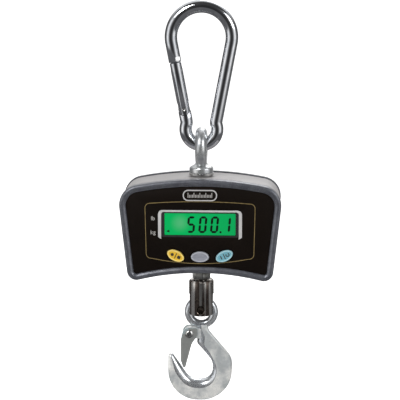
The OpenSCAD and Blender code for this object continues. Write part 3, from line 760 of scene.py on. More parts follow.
@dataclass(frozen=True)
class Backlight:
    """A positive LCD over a green backlight: even glow, with one pale patch."""

    name: str
    tone: str
    pale_tone: str
    far_tone: str
    deep_tone: str
    patch_at: Point
    patch_r: float
    fade_from: float
    fade_to: float
    glow: float

    def build(self) -> bpy.types.Material:
        """Makes the material, once.

        Returns:
            The Blender material of that name.
        """
        known = bpy.data.materials.get(self.name)
        if known:
            return known
        material = bare_material(self.name)
        tree = material.node_tree
        place = place_of(tree)
        across = add_node(tree, "ShaderNodeSeparateXYZ", {"Vector": place}).outputs["X"]
        far = spread(tree, across, self.fade_from * MM, self.fade_to * MM)
        away = add_node(tree, "ShaderNodeVectorMath", {
            0: place, 1: metres(self.patch_at)}, operation="DISTANCE").outputs["Value"]
        patch = spread(tree, away, self.patch_r * MM, 0.0, 0.0, 0.42,
                       interpolation_type="SMOOTHSTEP")
        colour = mix(tree, patch, mix(tree, far, self.tone, self.far_tone), self.pale_tone)
        surface = add_node(tree, "ShaderNodeBsdfPrincipled", {
            "Base Color": mix(tree, 0.8, colour, self.deep_tone),
            "Emission Color": colour, "Emission Strength": self.glow,
            "Roughness": spread(tree, noise(tree, place, 0.6, 2.0), 0.0, 1.0, 0.12, 0.2),
            "IOR": 1.49, "Specular IOR Level": 0.06})
        add_node(tree, "ShaderNodeOutputMaterial", {"Surface": surface.outputs[0]})
        material.diffuse_color = linear(self.tone)
        return material


def ink(name: str, tone: str, other: str, roughness: float = 0.6, **more: float) -> Finish:
    """Describes a thin screen-printed ink."""
    return Finish(f"{name}_screen_ink", tone, other, roughness=roughness, **more)


def silicone(colour: str, face: str, other: str, rim: str, other_highlight_rim: str) -> "tuple[Finish, Finish]":
    """Describes a silicone key's face and its glossier rim, painted paler as a painted highlight on
    the raised edge.
    """
    return (Finish(f"{colour}_silicone", face, other, roughness=0.5, blotch_mm=4.0, relief=0.08),
            Finish(f"{colour}_silicone_rim", rim, other_highlight_rim, roughness=0.45, blotch_mm=4.0))


# Bright zinc over drawn steel rod: mirror-like, with faint lines along the rod.
BRIGHT_ZINC = Finish("bright_zinc_on_drawn_rod", "#d9dadd", "#c4c7cc", metallic=1.0,
                     roughness=0.09, uneven=0.04, blotch_mm=7.0, grain_mm=0.5,
                     relief=0.03, speck_tone="#8b8d92", speck_mm=0.45, speck_share=0.74)
# Zinc over a forging: softer, greyer, with the forging's skin just showing.
SATIN_ZINC = Finish("satin_zinc_on_forging", "#d8dad9", "#b2b5b8", metallic=0.8,
                    roughness=0.3, uneven=0.07, blotch_mm=11.0, grain_mm=0.7,
                    relief=0.12, speck_tone="#8d8f90", speck_mm=0.6, speck_share=0.72)
# The hook's flanks: barrel-plated forging, cloudy where the plating is thin.
HOOK_FLANK = Finish("barrel_zinc_on_forging", "#faf9f5", "#bdc1c2", metallic=0.38,
                    roughness=0.33, blotch_mm=12.0, grain_mm=0.55,
                    relief=0.14, speck_tone="#92938f", speck_mm=0.7, speck_share=0.73)
# The hook's rounded inside: the same zinc, burnished by what hangs on it.
HOOK_BAND = Finish("burnished_zinc", "#e2e4e6", "#b9bec4", metallic=0.8, roughness=0.22,
                   uneven=0.07, blotch_mm=10.0, grain_mm=0.8, relief=0.06)
# Turned stainless: bright, with the tool's rings too fine to see.
STAINLESS = Finish("turned_stainless", "#d2d2d0", "#bdbdbb", metallic=1.0, roughness=0.22,
                   uneven=0.06, blotch_mm=4.0, grain_mm=0.3)
# The nut's zinc, dulled by the spanner.
NUT_ZINC = Finish("dulled_zinc_nut", "#a5a5a2", "#5f5f5b", metallic=1.0, roughness=0.2,
                  blotch_mm=5.0, grain_mm=0.3, relief=0.06)
# Oil-blackened steel: brown-black and polished, bare where it rubs, with pale upright streaks that
# are painted highlights.
BLACKENED = Finish("oil_blackened_steel", "#7c7068", "#4a423d", metallic=1.0,
                   roughness=0.15, uneven=0.07, blotch_mm=5.0, grain_mm=0.5,
                   worn_tone="#b9b4aa", highlight_streak_tone="#f4f1ec", highlight_streak_mm=4.5,
                   speck_tone="#b3a68f", speck_mm=1.0, speck_share=0.66)
# Pressed latch sheet: clear-zinc plated, an even cool grey.
LATCH_SHEET = Finish("zinc_plated_sheet", "#c6d1d1", "#a9b6b8", metallic=0.55,
                     roughness=0.35, uneven=0.06, blotch_mm=6.0)
# The same sheet where it is bent into the tongue, a little rougher and painted darker as painted
# shade.
LATCH_TONGUE_PAINTED_SHADE = Finish("zinc_plated_tongue", "#9fa19e", "#949694", metallic=0.5,
                      roughness=0.45, blotch_mm=8.0, relief=0.06)
# Spring wire: dark and hard-drawn.
SPRING_WIRE = Finish("hard_drawn_spring_wire", "#77797d", "#55575b", metallic=1.0,
                     roughness=0.3, blotch_mm=3.0, grain_mm=0.2)
# Metallic lacquer on die-cast alloy: blue-grey with aluminium flake and a clear coat.
BEZEL_LACQUER = Finish("metallic_lacquer_on_alloy", "#696b72", "#575960", metallic=0.55,
                       roughness=0.38, uneven=0.06, blotch_mm=6.0, grain_mm=0.35,
                       relief=0.1, coat=0.3, coat_roughness=0.2, speck_tone="#8d9099",
                       speck_share=0.66)
# Powder coat on the housing: light grey, dull, with a fine orange-peel.
POWDER_COAT = Finish("light_grey_powder_coat", "#a9a6a6", "#a19e9e", roughness=0.55,
                     uneven=0.05, blotch_mm=20.0, grain_mm=0.8, relief=0.18)
# Front overlay: warm black polyester film with a fine satin texture.
OVERLAY = Finish("black_polyester_overlay", "#130c07", "#0f0905", roughness=0.5,
                 uneven=0.05, blotch_mm=18.0, grain_mm=0.5, relief=0.08, specular=0.12)
# Gold, white and dark inks, screen-printed.
GOLD_INK = ink("gold", "#8d7a4e", "#7a6940", 0.5, metallic=0.2, blotch_mm=3.0)
WHITE_INK = ink("white", "#b4b1ad", "#a6a39f", blotch_mm=3.0, grain_mm=0.3)
DARK_INK = ink("dark", "#3d3526", "#332c20", blotch_mm=2.0, grain_mm=0.3)
# Silver-coated ABS moulding.
SILVER_TRIM = Finish("silver_coated_abs", "#d3d2d1", "#c6c5c4", metallic=0.25,
                     roughness=0.38, blotch_mm=8.0)
# LCD segments: dye-dark, seen through the cover.
LCD_DARK = Finish("lcd_segment_dark", "#04140b", "#06190e", roughness=0.3,
                  blotch_mm=3.0, grain_mm=0.5, relief=0.0)
# Moulded ABS, dark, with a light spark-eroded texture.
BLACK_ABS = Finish("black_textured_abs", "#232325", "#1c1c1e", roughness=0.55,
                   uneven=0.05, blotch_mm=10.0, grain_mm=0.45, relief=0.3)
# Soft rubber.
RUBBER = Finish("black_moulded_rubber", "#1c1c1c", "#242424", roughness=0.75,
                uneven=0.05, blotch_mm=5.0, grain_mm=0.5, relief=0.15, specular=0.3)
# Silicone keys, each with its own colour through and through; each rim tone is the key's colour
# painted paler as a painted highlight.
KEY_YELLOW = silicone("yellow", "#e0b62f", "#d9ad28", "#ecd17a", "#e6c866")
KEY_GREY = silicone("grey", "#8d8f99", "#858791", "#aaacb3", "#a2a4ac")
KEY_BLUE = silicone("blue", "#6fa9b8", "#68a1b0", "#9cc6cf", "#93bec8")
# Milled aluminium: the load cell.
ALUMINIUM = Finish("milled_aluminium", "#c3c5c8", "#b4b6b9", metallic=1.0,
                   roughness=0.32, blotch_mm=8.0, grain_mm=0.3,
                   grain_stretch=(1.0, 1.0, 0.1), relief=0.12)
# Polyimide foil of the strain gauges.
GAUGE_FOIL = Finish("polyimide_gauge_foil", "#a8772c", "#8d6222", metallic=0.2,
                    roughness=0.35, blotch_mm=1.5, grain_mm=0.3)
# PVC lead insulation.
LEAD_PVC = Finish("red_pvc_insulation", "#a52622", "#8f201d", roughness=0.45,
                  blotch_mm=2.0, grain_mm=0.3, relief=0.08)
# Solder-masked board.
BOARD = Finish("green_solder_mask", "#1d5a34", "#184c2c", roughness=0.3, coat=0.4,
               blotch_mm=3.0, grain_mm=0.6, relief=0.15, speck_tone="#9c8a4a",
               speck_mm=0.9, speck_share=0.7)
# Moulded epoxy packages.
CHIP = Finish("black_epoxy_package", "#222224", "#2b2b2d", roughness=0.5,
              blotch_mm=2.0, grain_mm=0.2, relief=0.15)
# White light guide.
WHITE_PC = Finish("white_polycarbonate", "#e4e6e2", "#d9dbd7", roughness=0.35,
                  blotch_mm=6.0, grain_mm=0.5)
# Printed steel jacket of a plain alkaline cell.
CELL_JACKET = Finish("copper_lacquered_jacket", "#b5672e", "#9c5726", metallic=0.7,
                     roughness=0.28, blotch_mm=8.0, grain_mm=0.5)
# The display's glass, lit green from behind.
LCD_GREEN = Backlight("backlit_green_lcd", "#08a856", "#6fae88", "#0c9c52", "#03150c",
                      patch_at=(-15.5, -24.0, -161.0), patch_r=9.0,
                      fade_from=-10.0, fade_to=27.0, glow=0.9)


# ------------------------------------------------------------------ snap hook


@dataclass
class SnapHook:
    """The spring-gate snap hook at the top: a bent rod, and the gate in its left leg."""

    rod_r: float = 5.0
    top_r: float = 23.7
    bottom_r: float = 12.4
    neck_r: float = 6.0
    lean: float = 10.75
    gate_r: float = 4.8
    gate_len: float = 37.0
    end_gap: float = 0.45
    knuckle_gap: float = 0.3
    rivet_up: float = 9.6
    rivet_r: float = 1.5
    tongue: float = 4.0
    nose_tongue: float = 4.5
    high: Flat = field(init=False)
    low: Flat = field(init=False)
    leg_top: Flat = field(init=False)
    neck: Flat = field(init=False)
    foot: Flat = field(init=False)
    rivet: Flat = field(init=False)

    def __post_init__(self) -> None:
        """Works out the bends' centres and where the straight legs run."""
        low, high = node_box("carabiner_frame")
        c, s = math.cos(math.radians(self.lean)), math.sin(math.radians(self.lean))
        self.high = (0.0, high[2] - self.rod_r - self.top_r)
        self.low = (0.0, low[2] + self.rod_r + self.bottom_r)
        self.leg_top = (self.top_r * c, self.high[1] - self.top_r * s)
        start = Vector(self.leg_top) + self.neck_r * Vector((c, -s)) - Vector(self.low)
        along = Vector((s, c))
        reach = self.bottom_r + self.neck_r
        b = start.dot(along)
        # Of the two places where the neck bend could touch, the upper one is right.
        tops = [-b + k * math.sqrt(b * b - start.length_squared + reach * reach)
                for k in (-1, 1)]
        place = max((start + t * along for t in tops), key=lambda p: p.y)
        self.neck = (place.x + self.low[0], place.y + self.low[1])
        self.foot = (self.neck[0] - self.neck_r * c, self.neck[1] + self.neck_r * s)
        self.rivet = (-(self.foot[0] + self.rivet_up * s), self.foot[1] + self.rivet_up * c)

    def on_gate(self, up: float) -> Point:
        """Gives the point that far up the gate's line from its rivet."""
        turn = math.radians(self.lean)
        return (self.rivet[0] - up * math.sin(turn), 0.0, self.rivet[1] + up * math.cos(turn))

    def leaning_block(self, low: Point, high: Point) -> Work:
        """Starts a block that leans with the gate, between two corners from its rivet."""
        x, z = self.rivet
        block = box_work("block", (x + low[0], low[1], z + low[2]),
                         (x + high[0], high[1], z + high[2]))
        return block.pick_all().turn(-self.lean, (x, 0, z))

    def frame_rod(self) -> None:
        """Bends the rod from the nose round the top, down and up to the gate's rivet."""
        nose = self.on_gate(self.gate_len + self.end_gap)
        neck_turn = math.degrees(math.atan2(self.neck[1] - self.low[1], self.neck[0]))
        work = Work.disc("snap_hook_rod", nose, self.rod_r, sides=40, tilt=-self.lean)
        work.extrude(-self.leg_top[0] - nose[0], 0, self.leg_top[1] - nose[2])
        work.spin(self.high, -(180 + 2 * self.lean), 56)
        work.extrude(self.foot[0] - self.leg_top[0], 0, self.foot[1] - self.leg_top[1])
        work.spin(self.neck, self.lean + neck_turn, 10)
        work.spin(self.low, -(180 + 2 * neck_turn), 48)
        work.spin((-self.neck[0], self.neck[1]), self.lean + neck_turn, 10)
        end = self.on_gate(0)
        work.extrude(end[0] + self.foot[0], 0, end[2] - self.foot[1])
        x, z = self.rivet
        cutter = rod_work("gate_room", x, z, -8, 8, self.gate_r + self.knuckle_gap, 48)
        work.cut(cutter)
        work.soften(0.35, 2, 50)
        eye = rod_work("tongue_eye", x, z, -self.tongue / 2, self.tongue / 2, self.gate_r - 0.3)
        eye.add(self.leaning_block((-4.4, -self.tongue / 2, 1.5 - self.rivet_up),
                                   (4.4, self.tongue / 2, 0)))
        work.add(eye)
        reach = self.gate_len + self.end_gap
        half = self.tongue / 2 - 0.2
        work.add(self.leaning_block((-3, -half, reach - self.nose_tongue), (3, half, reach + 1)))
        work.cut(self.leaning_block((1.0, -6, reach + 0.6), (4.3, 6, reach + 3.6)))
        work.finish("snap_hook", BRIGHT_ZINC, "zinc_steel", ["carabiner_frame"])

    def gate(self) -> None:
        """Turns the gate upright over its rivet, slots both ends and leans it over."""
        x, z = self.rivet
        profile = [(0.6, 0.0), (self.gate_r - 0.4, 0.0), (self.gate_r, 0.4),
                   (self.gate_r, self.gate_len + self.gate_r - 0.5),
                   (self.gate_r - 0.5, self.gate_len + self.gate_r)]
        work = Work.turned("snap_hook_gate", (x, 0, z - self.gate_r), profile, sides=48)
        knuckle = rod_work("knuckle", x, z, -self.gate_r, self.gate_r, self.gate_r, 48)
        keep = box_work("keep", (x - 6, -6, z), (x + 6, 6, z + self.gate_len + 1))
        knuckle.add(keep)
        work.combine(knuckle, "INTERSECT")
        slot = self.tongue / 2 + 0.2
        work.cut(box_work("knuckle_slot", (x - 6, -slot, z - 6), (x + 6, slot, z + 5.4)))
        work.cut(box_work("nose_slot", (x - 6, -self.tongue / 2,
                                        z + self.gate_len - self.nose_tongue - 1),
                          (x + 6, self.tongue / 2, z + self.gate_len + 1)))
        work.cut(Work.disc("spring_bore", (x, 0, z), 2.5).extrude(0, 0, 24.5))
        work.cut(rod_work("rivet_hole", x, z, -8, 8, self.rivet_r + 0.08))
        work.soften(0.3, 2, 50)
        work.pick_all().turn(-self.lean, (x, 0, z))
        work.finish("gate", BRIGHT_ZINC, "zinc_steel", ["carabiner_gate"])

    def pin(self) -> None:
        """Turns the gate's rivet, with a dimple at each end."""
        x, z = self.rivet
        reach = self.gate_r + 0.4
        half = [(0.5, -reach + 0.35), (0.9, -reach + 0.1), (1.2, -reach), (1.5, -reach + 0.3)]
        Work.turned("gate_hinge_rivet", (x, 0, z), both_ends(half), Axis.Y, 32).finish(
            "snap_hook", STAINLESS, "stainless", ["gate_rivet"])

    def build(self) -> None:
        """Builds the snap hook's rod, its gate and the gate's rivet."""
        self.frame_rod()
        self.gate()
        self.pin()


# ------------------------------------------------------------------- eye bolt


@dataclass
class EyeBolt:
    """The forged eye that hangs in the snap hook, with its collar and washer."""

    ring_r: float = 11.5
    bar_r: float = 4.5
    collar_r: float = 9.5
    washer_r: float = 9.8
    washer_t: float = 2.0
    thread_r: float = 4.0

    def build(self) -> None:
        """Builds the eye bolt and its washer."""
        low, high = node_box("eye_bolt")
        seat = node_box("eye_washer")[1][2]
        middle = high[2] - self.ring_r - self.bar_r
        eye = Work.torus("forged_eye_bolt", (0, 0, middle), self.ring_r, self.bar_r, Axis.X)
        thread = [(self.thread_r - 0.6, low[2] - seat)]
        pitch = 1.25
        turns = int((-4.0 - (low[2] - seat)) / pitch)
        for i in range(turns):
            foot = low[2] - seat + i * pitch
            thread += [(self.thread_r, foot + 0.5), (self.thread_r, foot + 0.7),
                       (self.thread_r - 0.6, foot + pitch)]
        collar = Work.turned("collar", (0, 0, seat), thread + [
            (self.thread_r, -0.8), (self.thread_r, 0.0), (self.collar_r - 0.5, 0.0),
            (self.collar_r, 0.5), (self.collar_r, 3.3), (self.collar_r - 0.25, 4.1),
            (self.collar_r - 1.0, 4.8), (self.collar_r - 2.4, 5.5), (self.collar_r - 3.6, 6.1),
            (self.collar_r - 4.5, 6.9), (4.2, 8.0), (2.0, 8.8)], sides=56)
        eye.add(collar)
        eye.finish("scale_body", SATIN_ZINC, "zinc_steel", ["eye_bolt"])
        bore = self.thread_r + 0.08
        bottom = seat - self.washer_t
        Work.turned("eye_bolt_washer", (0, 0, bottom), [
            (bore, 0), (self.washer_r - 0.2, 0), (self.washer_r, 0.2),
            (self.washer_r, self.washer_t - 0.3), (self.washer_r - 0.3, self.washer_t),
            (bore, self.washer_t)], sides=56, closed=True).finish(
            "scale_body", STAINLESS, "stainless", ["eye_washer"])


# ----------------------------------------------------------------------- case


@dataclass
class Case:
    """The die-cast case: bezel, housing and rear cover, with what closes them."""

    top_arch_r: float = 262.0
    bottom_arch_r: float = 200.0
    side_lean: float = 6.3
    top_corner_r: float = 16.0
    bottom_corner_r: float = 7.5
    width: float = 126.0
    height: float = 74.0
    rim: float = 5.2
    shell_step: float = 0.8
    wall: float = 4.0
    boss_x: Flat = (48.5, 46.0)
    boss_drop: Flat = (15.5, 61.0)
    screw_r: float = 1.5
    head_r: float = 2.8
    bush_r: float = 6.15
    door_hole: Flat = (56.5, 45.0)
    door_lip: float = 3.2
    door_t: float = 2.0
    tab_r: float = 4.4
    # Steps inwards over each bead: (width, rise).
    front_bead: tuple[Flat, ...] = (
        (0.10, 0.75), (0.3, 0.65), (0.5, 0.5), (0.65, 0.28), (0.7, 0.12), (0.6, -0.06),
        (0.65, -0.22), (0.55, -0.38), (0.35, -0.30), (0.25, -0.04), (0.35, 0.0), (0.2, -0.25))
    rear_bead: tuple[Flat, ...] = (
        (0.12, 0.6), (0.3, 0.5), (0.5, 0.38), (0.7, 0.25), (0.9, 0.17))
    top: float = field(init=False)
    front: float = field(init=False)
    rear: float = field(init=False)

    def __post_init__(self) -> None:
        """Takes the case's faces from the frame."""
        low, high = node_box("front_bezel")
        self.top = high[2]
        self.front = low[1]
        self.rear = node_box("rear_cover")[1][1]

    def outline(self, inset: float) -> list[Flat]:
        """Gives the case's outline, set in by a distance all round.

        Args:
            inset: the distance.

        Returns:
            The outline's points, from the crown towards +X.
        """
        lean = math.radians(self.side_lean)
        high = Vector((0, self.top - self.top_arch_r))
        low = Vector((0, self.top - self.height - self.bottom_arch_r))
        across = self.width / 2 - self.top_corner_r
        widest = Vector((across, high.y + math.sqrt(
            (self.top_arch_r - self.top_corner_r) ** 2 - across ** 2)))
        out = Vector((math.cos(lean), -math.sin(lean)))
        down = Vector((-math.sin(lean), -math.cos(lean)))
        on_side = widest + (self.top_corner_r - inset) * out
        top_r = max(self.top_corner_r - inset, 1)
        low_r = max(self.bottom_corner_r - inset, 1)

        def touching(radius: float, centre: Vector, reach: float) -> Vector:
            """Gives the centre of a corner that touches the side and an arc."""
            q = on_side - radius * out - centre
            b = q.dot(down)
            return centre + q + (-b - math.sqrt(b * b - q.length_squared + reach ** 2)) * down

        corner = touching(top_r, high, self.top_arch_r - inset - top_r)
        foot = touching(low_r, low, self.bottom_arch_r + inset + low_r)
        meet_top = math.degrees(math.atan2(corner.y - high.y, corner.x - high.x))
        meet_low = math.degrees(math.atan2(low.y - foot.y, low.x - foot.x))
        meet_arch = math.degrees(math.atan2(foot.y - low.y, foot.x - low.x))
        half = (arc(tuple(high), self.top_arch_r - inset, 90, meet_top, 10)
                + arc(tuple(corner), top_r, meet_top, -self.side_lean, 12)[1:]
                + arc(tuple(foot), low_r, -self.side_lean, meet_low, 12)
                + arc(tuple(low), self.bottom_arch_r + inset, meet_arch, 90, 10)[1:])
        return half + [(-x, z) for x, z in reversed(half[1:-1])]

    def screw_places(self) -> list[Flat]:
        """Gives the four case screws' places."""
        return [(side.value * x, self.top - drop) for side in Side
                for x, drop in zip(self.boss_x, self.boss_drop)]

    def door_heights(self) -> Flat:
        """Gives the heights of the door opening's middle and of its screw."""
        low, high = node_box("battery_box")
        return (low[2] + high[2]) / 2, node_box("battery_door")[0][2] + self.tab_r

    def bezel(self) -> None:
        """Builds the front bezel: a rounded bead round an inner lip."""
        back = node_box("front_bezel")[1][1]
        work = Work.slab("bezel_casting", self.outline(0), back, self.front + 2.3)
        for width, rise in self.front_bead:
            work.inset(width, rise)
        work.open_back(back)
        work.finish("scale_body", BEZEL_LACQUER, "bezel_paint", ["front_bezel"],
                    smooth=50)

    def housing(self) -> None:
        """Builds the housing between the bezel and the rear cover."""
        low, high = node_box("main_housing")
        work = Work.slab("housing_casting", self.outline(self.shell_step), high[1], low[1])
        work.inset(self.wall).open_back(high[1])
        work.soften(0.5, 2, 50)
        for z in (self.top - 3, self.top - self.height + 3):
            work.cut(Work.disc("bolt_way", (0, 0, z - 6), self.bush_r, sides=40).extrude(0, 0, 12))
        for x, z in self.screw_places():
            post = rod_work("boss", x, z, low[1] + 0.1, high[1] - 0.1, 4.0, 32)
            post.cut(rod_work("boss_hole", x, z, low[1] - 1, high[1] + 1, self.screw_r + 0.15))
            work.join(post)
        work.finish("scale_body", POWDER_COAT, "case_paint", ["main_housing"],
                    smooth=40)

    def seal(self, node: str) -> None:
        """Builds one of the two flat seals."""
        low, high = node_box(node)
        outline = self.outline(self.shell_step + 0.6)
        work = Work.slab(f"{node}_gasket", outline, high[1], low[1])
        work.inset(self.wall - 1).open_back(high[1])
        work.finish("scale_body", RUBBER, "seal_rubber", [node])

    def rear_cover(self) -> None:
        """Builds the rear cover, with its door opening and its sunk screws."""
        low, high = node_box("rear_cover")
        work = Work.slab("rear_casting", self.outline(0), low[1], high[1] - 1.9)
        for width, rise in self.rear_bead:
            work.inset(width, rise)
        z_mid, tab_z = self.door_heights()
        wide, tall = self.door_hole
        opening = Work.traced("opening", oblong(wide, tall, 1.0, (0, z_mid)), low[1] - 1)
        work.cut(opening.extrude(0, 10, 0))
        lip, sunk = 2 * self.door_lip, high[1] - self.door_t - 0.2
        ledge = Work.traced("ledge", oblong(wide + lip, tall + lip, 3.0, (0, z_mid)), sunk)
        ledge.extrude(0, 4, 0)
        ledge.add(rod_work("tab_room", 0, tab_z, sunk, sunk + 4, self.tab_r + 0.3))
        work.cut(ledge)
        for x, z in self.screw_places():
            hole = rod_work("screw_hole", x, z, low[1] - 1, high[1] + 1, self.screw_r + 0.15)
            hole.add(rod_work("head_room", x, z, high[1] - 2, high[1] + 1, self.head_r + 0.3))
            work.cut(hole)
        work.cut(rod_work("door_screw_hole", 0, tab_z, low[1] - 1, high[1] + 1,
                          self.screw_r + 0.3))
        work.finish("scale_body", BEZEL_LACQUER, "bezel_paint", ["rear_cover"],
                    smooth=40)

    def door(self) -> None:
        """Builds the battery door, with its finger ribs and its screw tab."""
        low, high = node_box("battery_door")
        z_mid, tab_z = self.door_heights()
        front = high[1] - self.door_t
        outline = oblong(high[0] - low[0], 2 * (high[2] - z_mid), 2.8, (0, z_mid))
        work = Work.slab("battery_hatch", outline, front, high[1])
        work.add(rod_work("tab", 0, tab_z, front + 0.01, high[1] - 0.01, self.tab_r))
        work.soften(0.4, 3, 50)
        rib = Work.traced("rib", oblong(52.5, 41, 2.0, (0, z_mid)), front - 1.2)
        work.add(rib.extrude(0, 1.5, 0))
        for k in range(7):
            z = high[2] - 8 - 2.2 * k
            groove = Work.traced("groove", oblong(22, 1.0, 0.45, (0, z)), high[1] - 0.4)
            work.cut(groove.extrude(0, 1, 0))
        work.cut(rod_work("screw_hole", 0, tab_z, low[1] - 1, high[1] + 1, self.screw_r + 0.15))
        work.cut(rod_work("head_room", 0, tab_z, high[1] - 1.1, high[1] + 1, self.head_r))
        work.finish("door", BLACK_ABS, "black_plastic", ["battery_door"], smooth=40)

    def screw(self, name: str, x: float, z: float, reach: Flat, head_r: float,
              slotted: bool) -> Work:
        """Turns one screw with its head towards the rear.

        Args:
            name: name of the piece.
            x: place across.
            z: height.
            reach: Y of the point and of the head's top.
            head_r: radius of the head.
            slotted: a straight slot, or else a hex socket.

        Returns:
            The screw, still open.
        """
        tip, top = reach
        head = 1.0 if slotted else 1.8
        work = Work.turned(name, (x, top, z), [
            (head_r - 0.5, 0), (head_r - 0.1, 0.3), (head_r, 0.6), (head_r, head),
            (self.screw_r, head), (self.screw_r, top - tip - 0.6), (0.9, top - tip)],
            Axis.Y, 32)
        if slotted:
            work.cut(box_work("slot", (x - 4, top - 0.45, z - 0.4), (x + 4, top + 1, z + 0.4)))
        else:
            work.cut(Work.disc("socket", (x, top - 1.0, z), 1.35, Axis.Y, 6).extrude(0, 2, 0))
        return work

    def screws(self) -> None:
        """Builds the four case screws as one group, and the door's screw."""
        low, high = node_box("case_screws")
        places = self.screw_places()
        group = self.screw("case_screw_set", *places[0], (low[1], high[1]), self.head_r, False)
        for x, z in places[1:]:
            group.join(self.screw("screw", x, z, (low[1], high[1]), self.head_r, False))
        group.finish("scale_body", STAINLESS, "stainless", ["case_screws"])
        low, high = node_box("door_screw")
        self.screw("hatch_screw", 0, (low[2] + high[2]) / 2, (low[1], high[1]), 2.5,
                   True).finish("door", STAINLESS, "stainless", ["door_screw"])

    def build(self) -> None:
        """Builds the case from front to rear."""
        self.bezel()
        self.seal("front_seal")
        self.housing()
        self.seal("rear_seal")
        self.rear_cover()
        self.door()
        self.screws()


# ---------------------------------------------------------------- front panel


class Segment(Enum):
    """The seven strokes of a digit, as (middle, half length, lies flat), of a 1 x 2 digit."""

    TOP = ((0.5, 2.0), True)
    TOP_RIGHT = ((1.0, 1.5), False)
    LOW_RIGHT = ((1.0, 0.5), False)
    BOTTOM = ((0.5, 0.0), True)
    LOW_LEFT = ((0.0, 0.5), False)
    TOP_LEFT = ((0.0, 1.5), False)
    MIDDLE = ((0.5, 1.0), True)


FIVE = (Segment.TOP, Segment.TOP_LEFT, Segment.MIDDLE, Segment.LOW_RIGHT, Segment.BOTTOM)
ZERO = (Segment.TOP, Segment.TOP_LEFT, Segment.TOP_RIGHT, Segment.LOW_LEFT,
        Segment.LOW_RIGHT, Segment.BOTTOM)
ONE = (Segment.TOP_RIGHT, Segment.LOW_RIGHT)


@dataclass(frozen=True)
class Key:
    """One of the three oval keys."""

    node: str
    body: str
    slot: str
    tilt: float
    finish: Finish
    # The rim's finish: the key's colour painted paler, as a painted highlight.
    rim: Finish


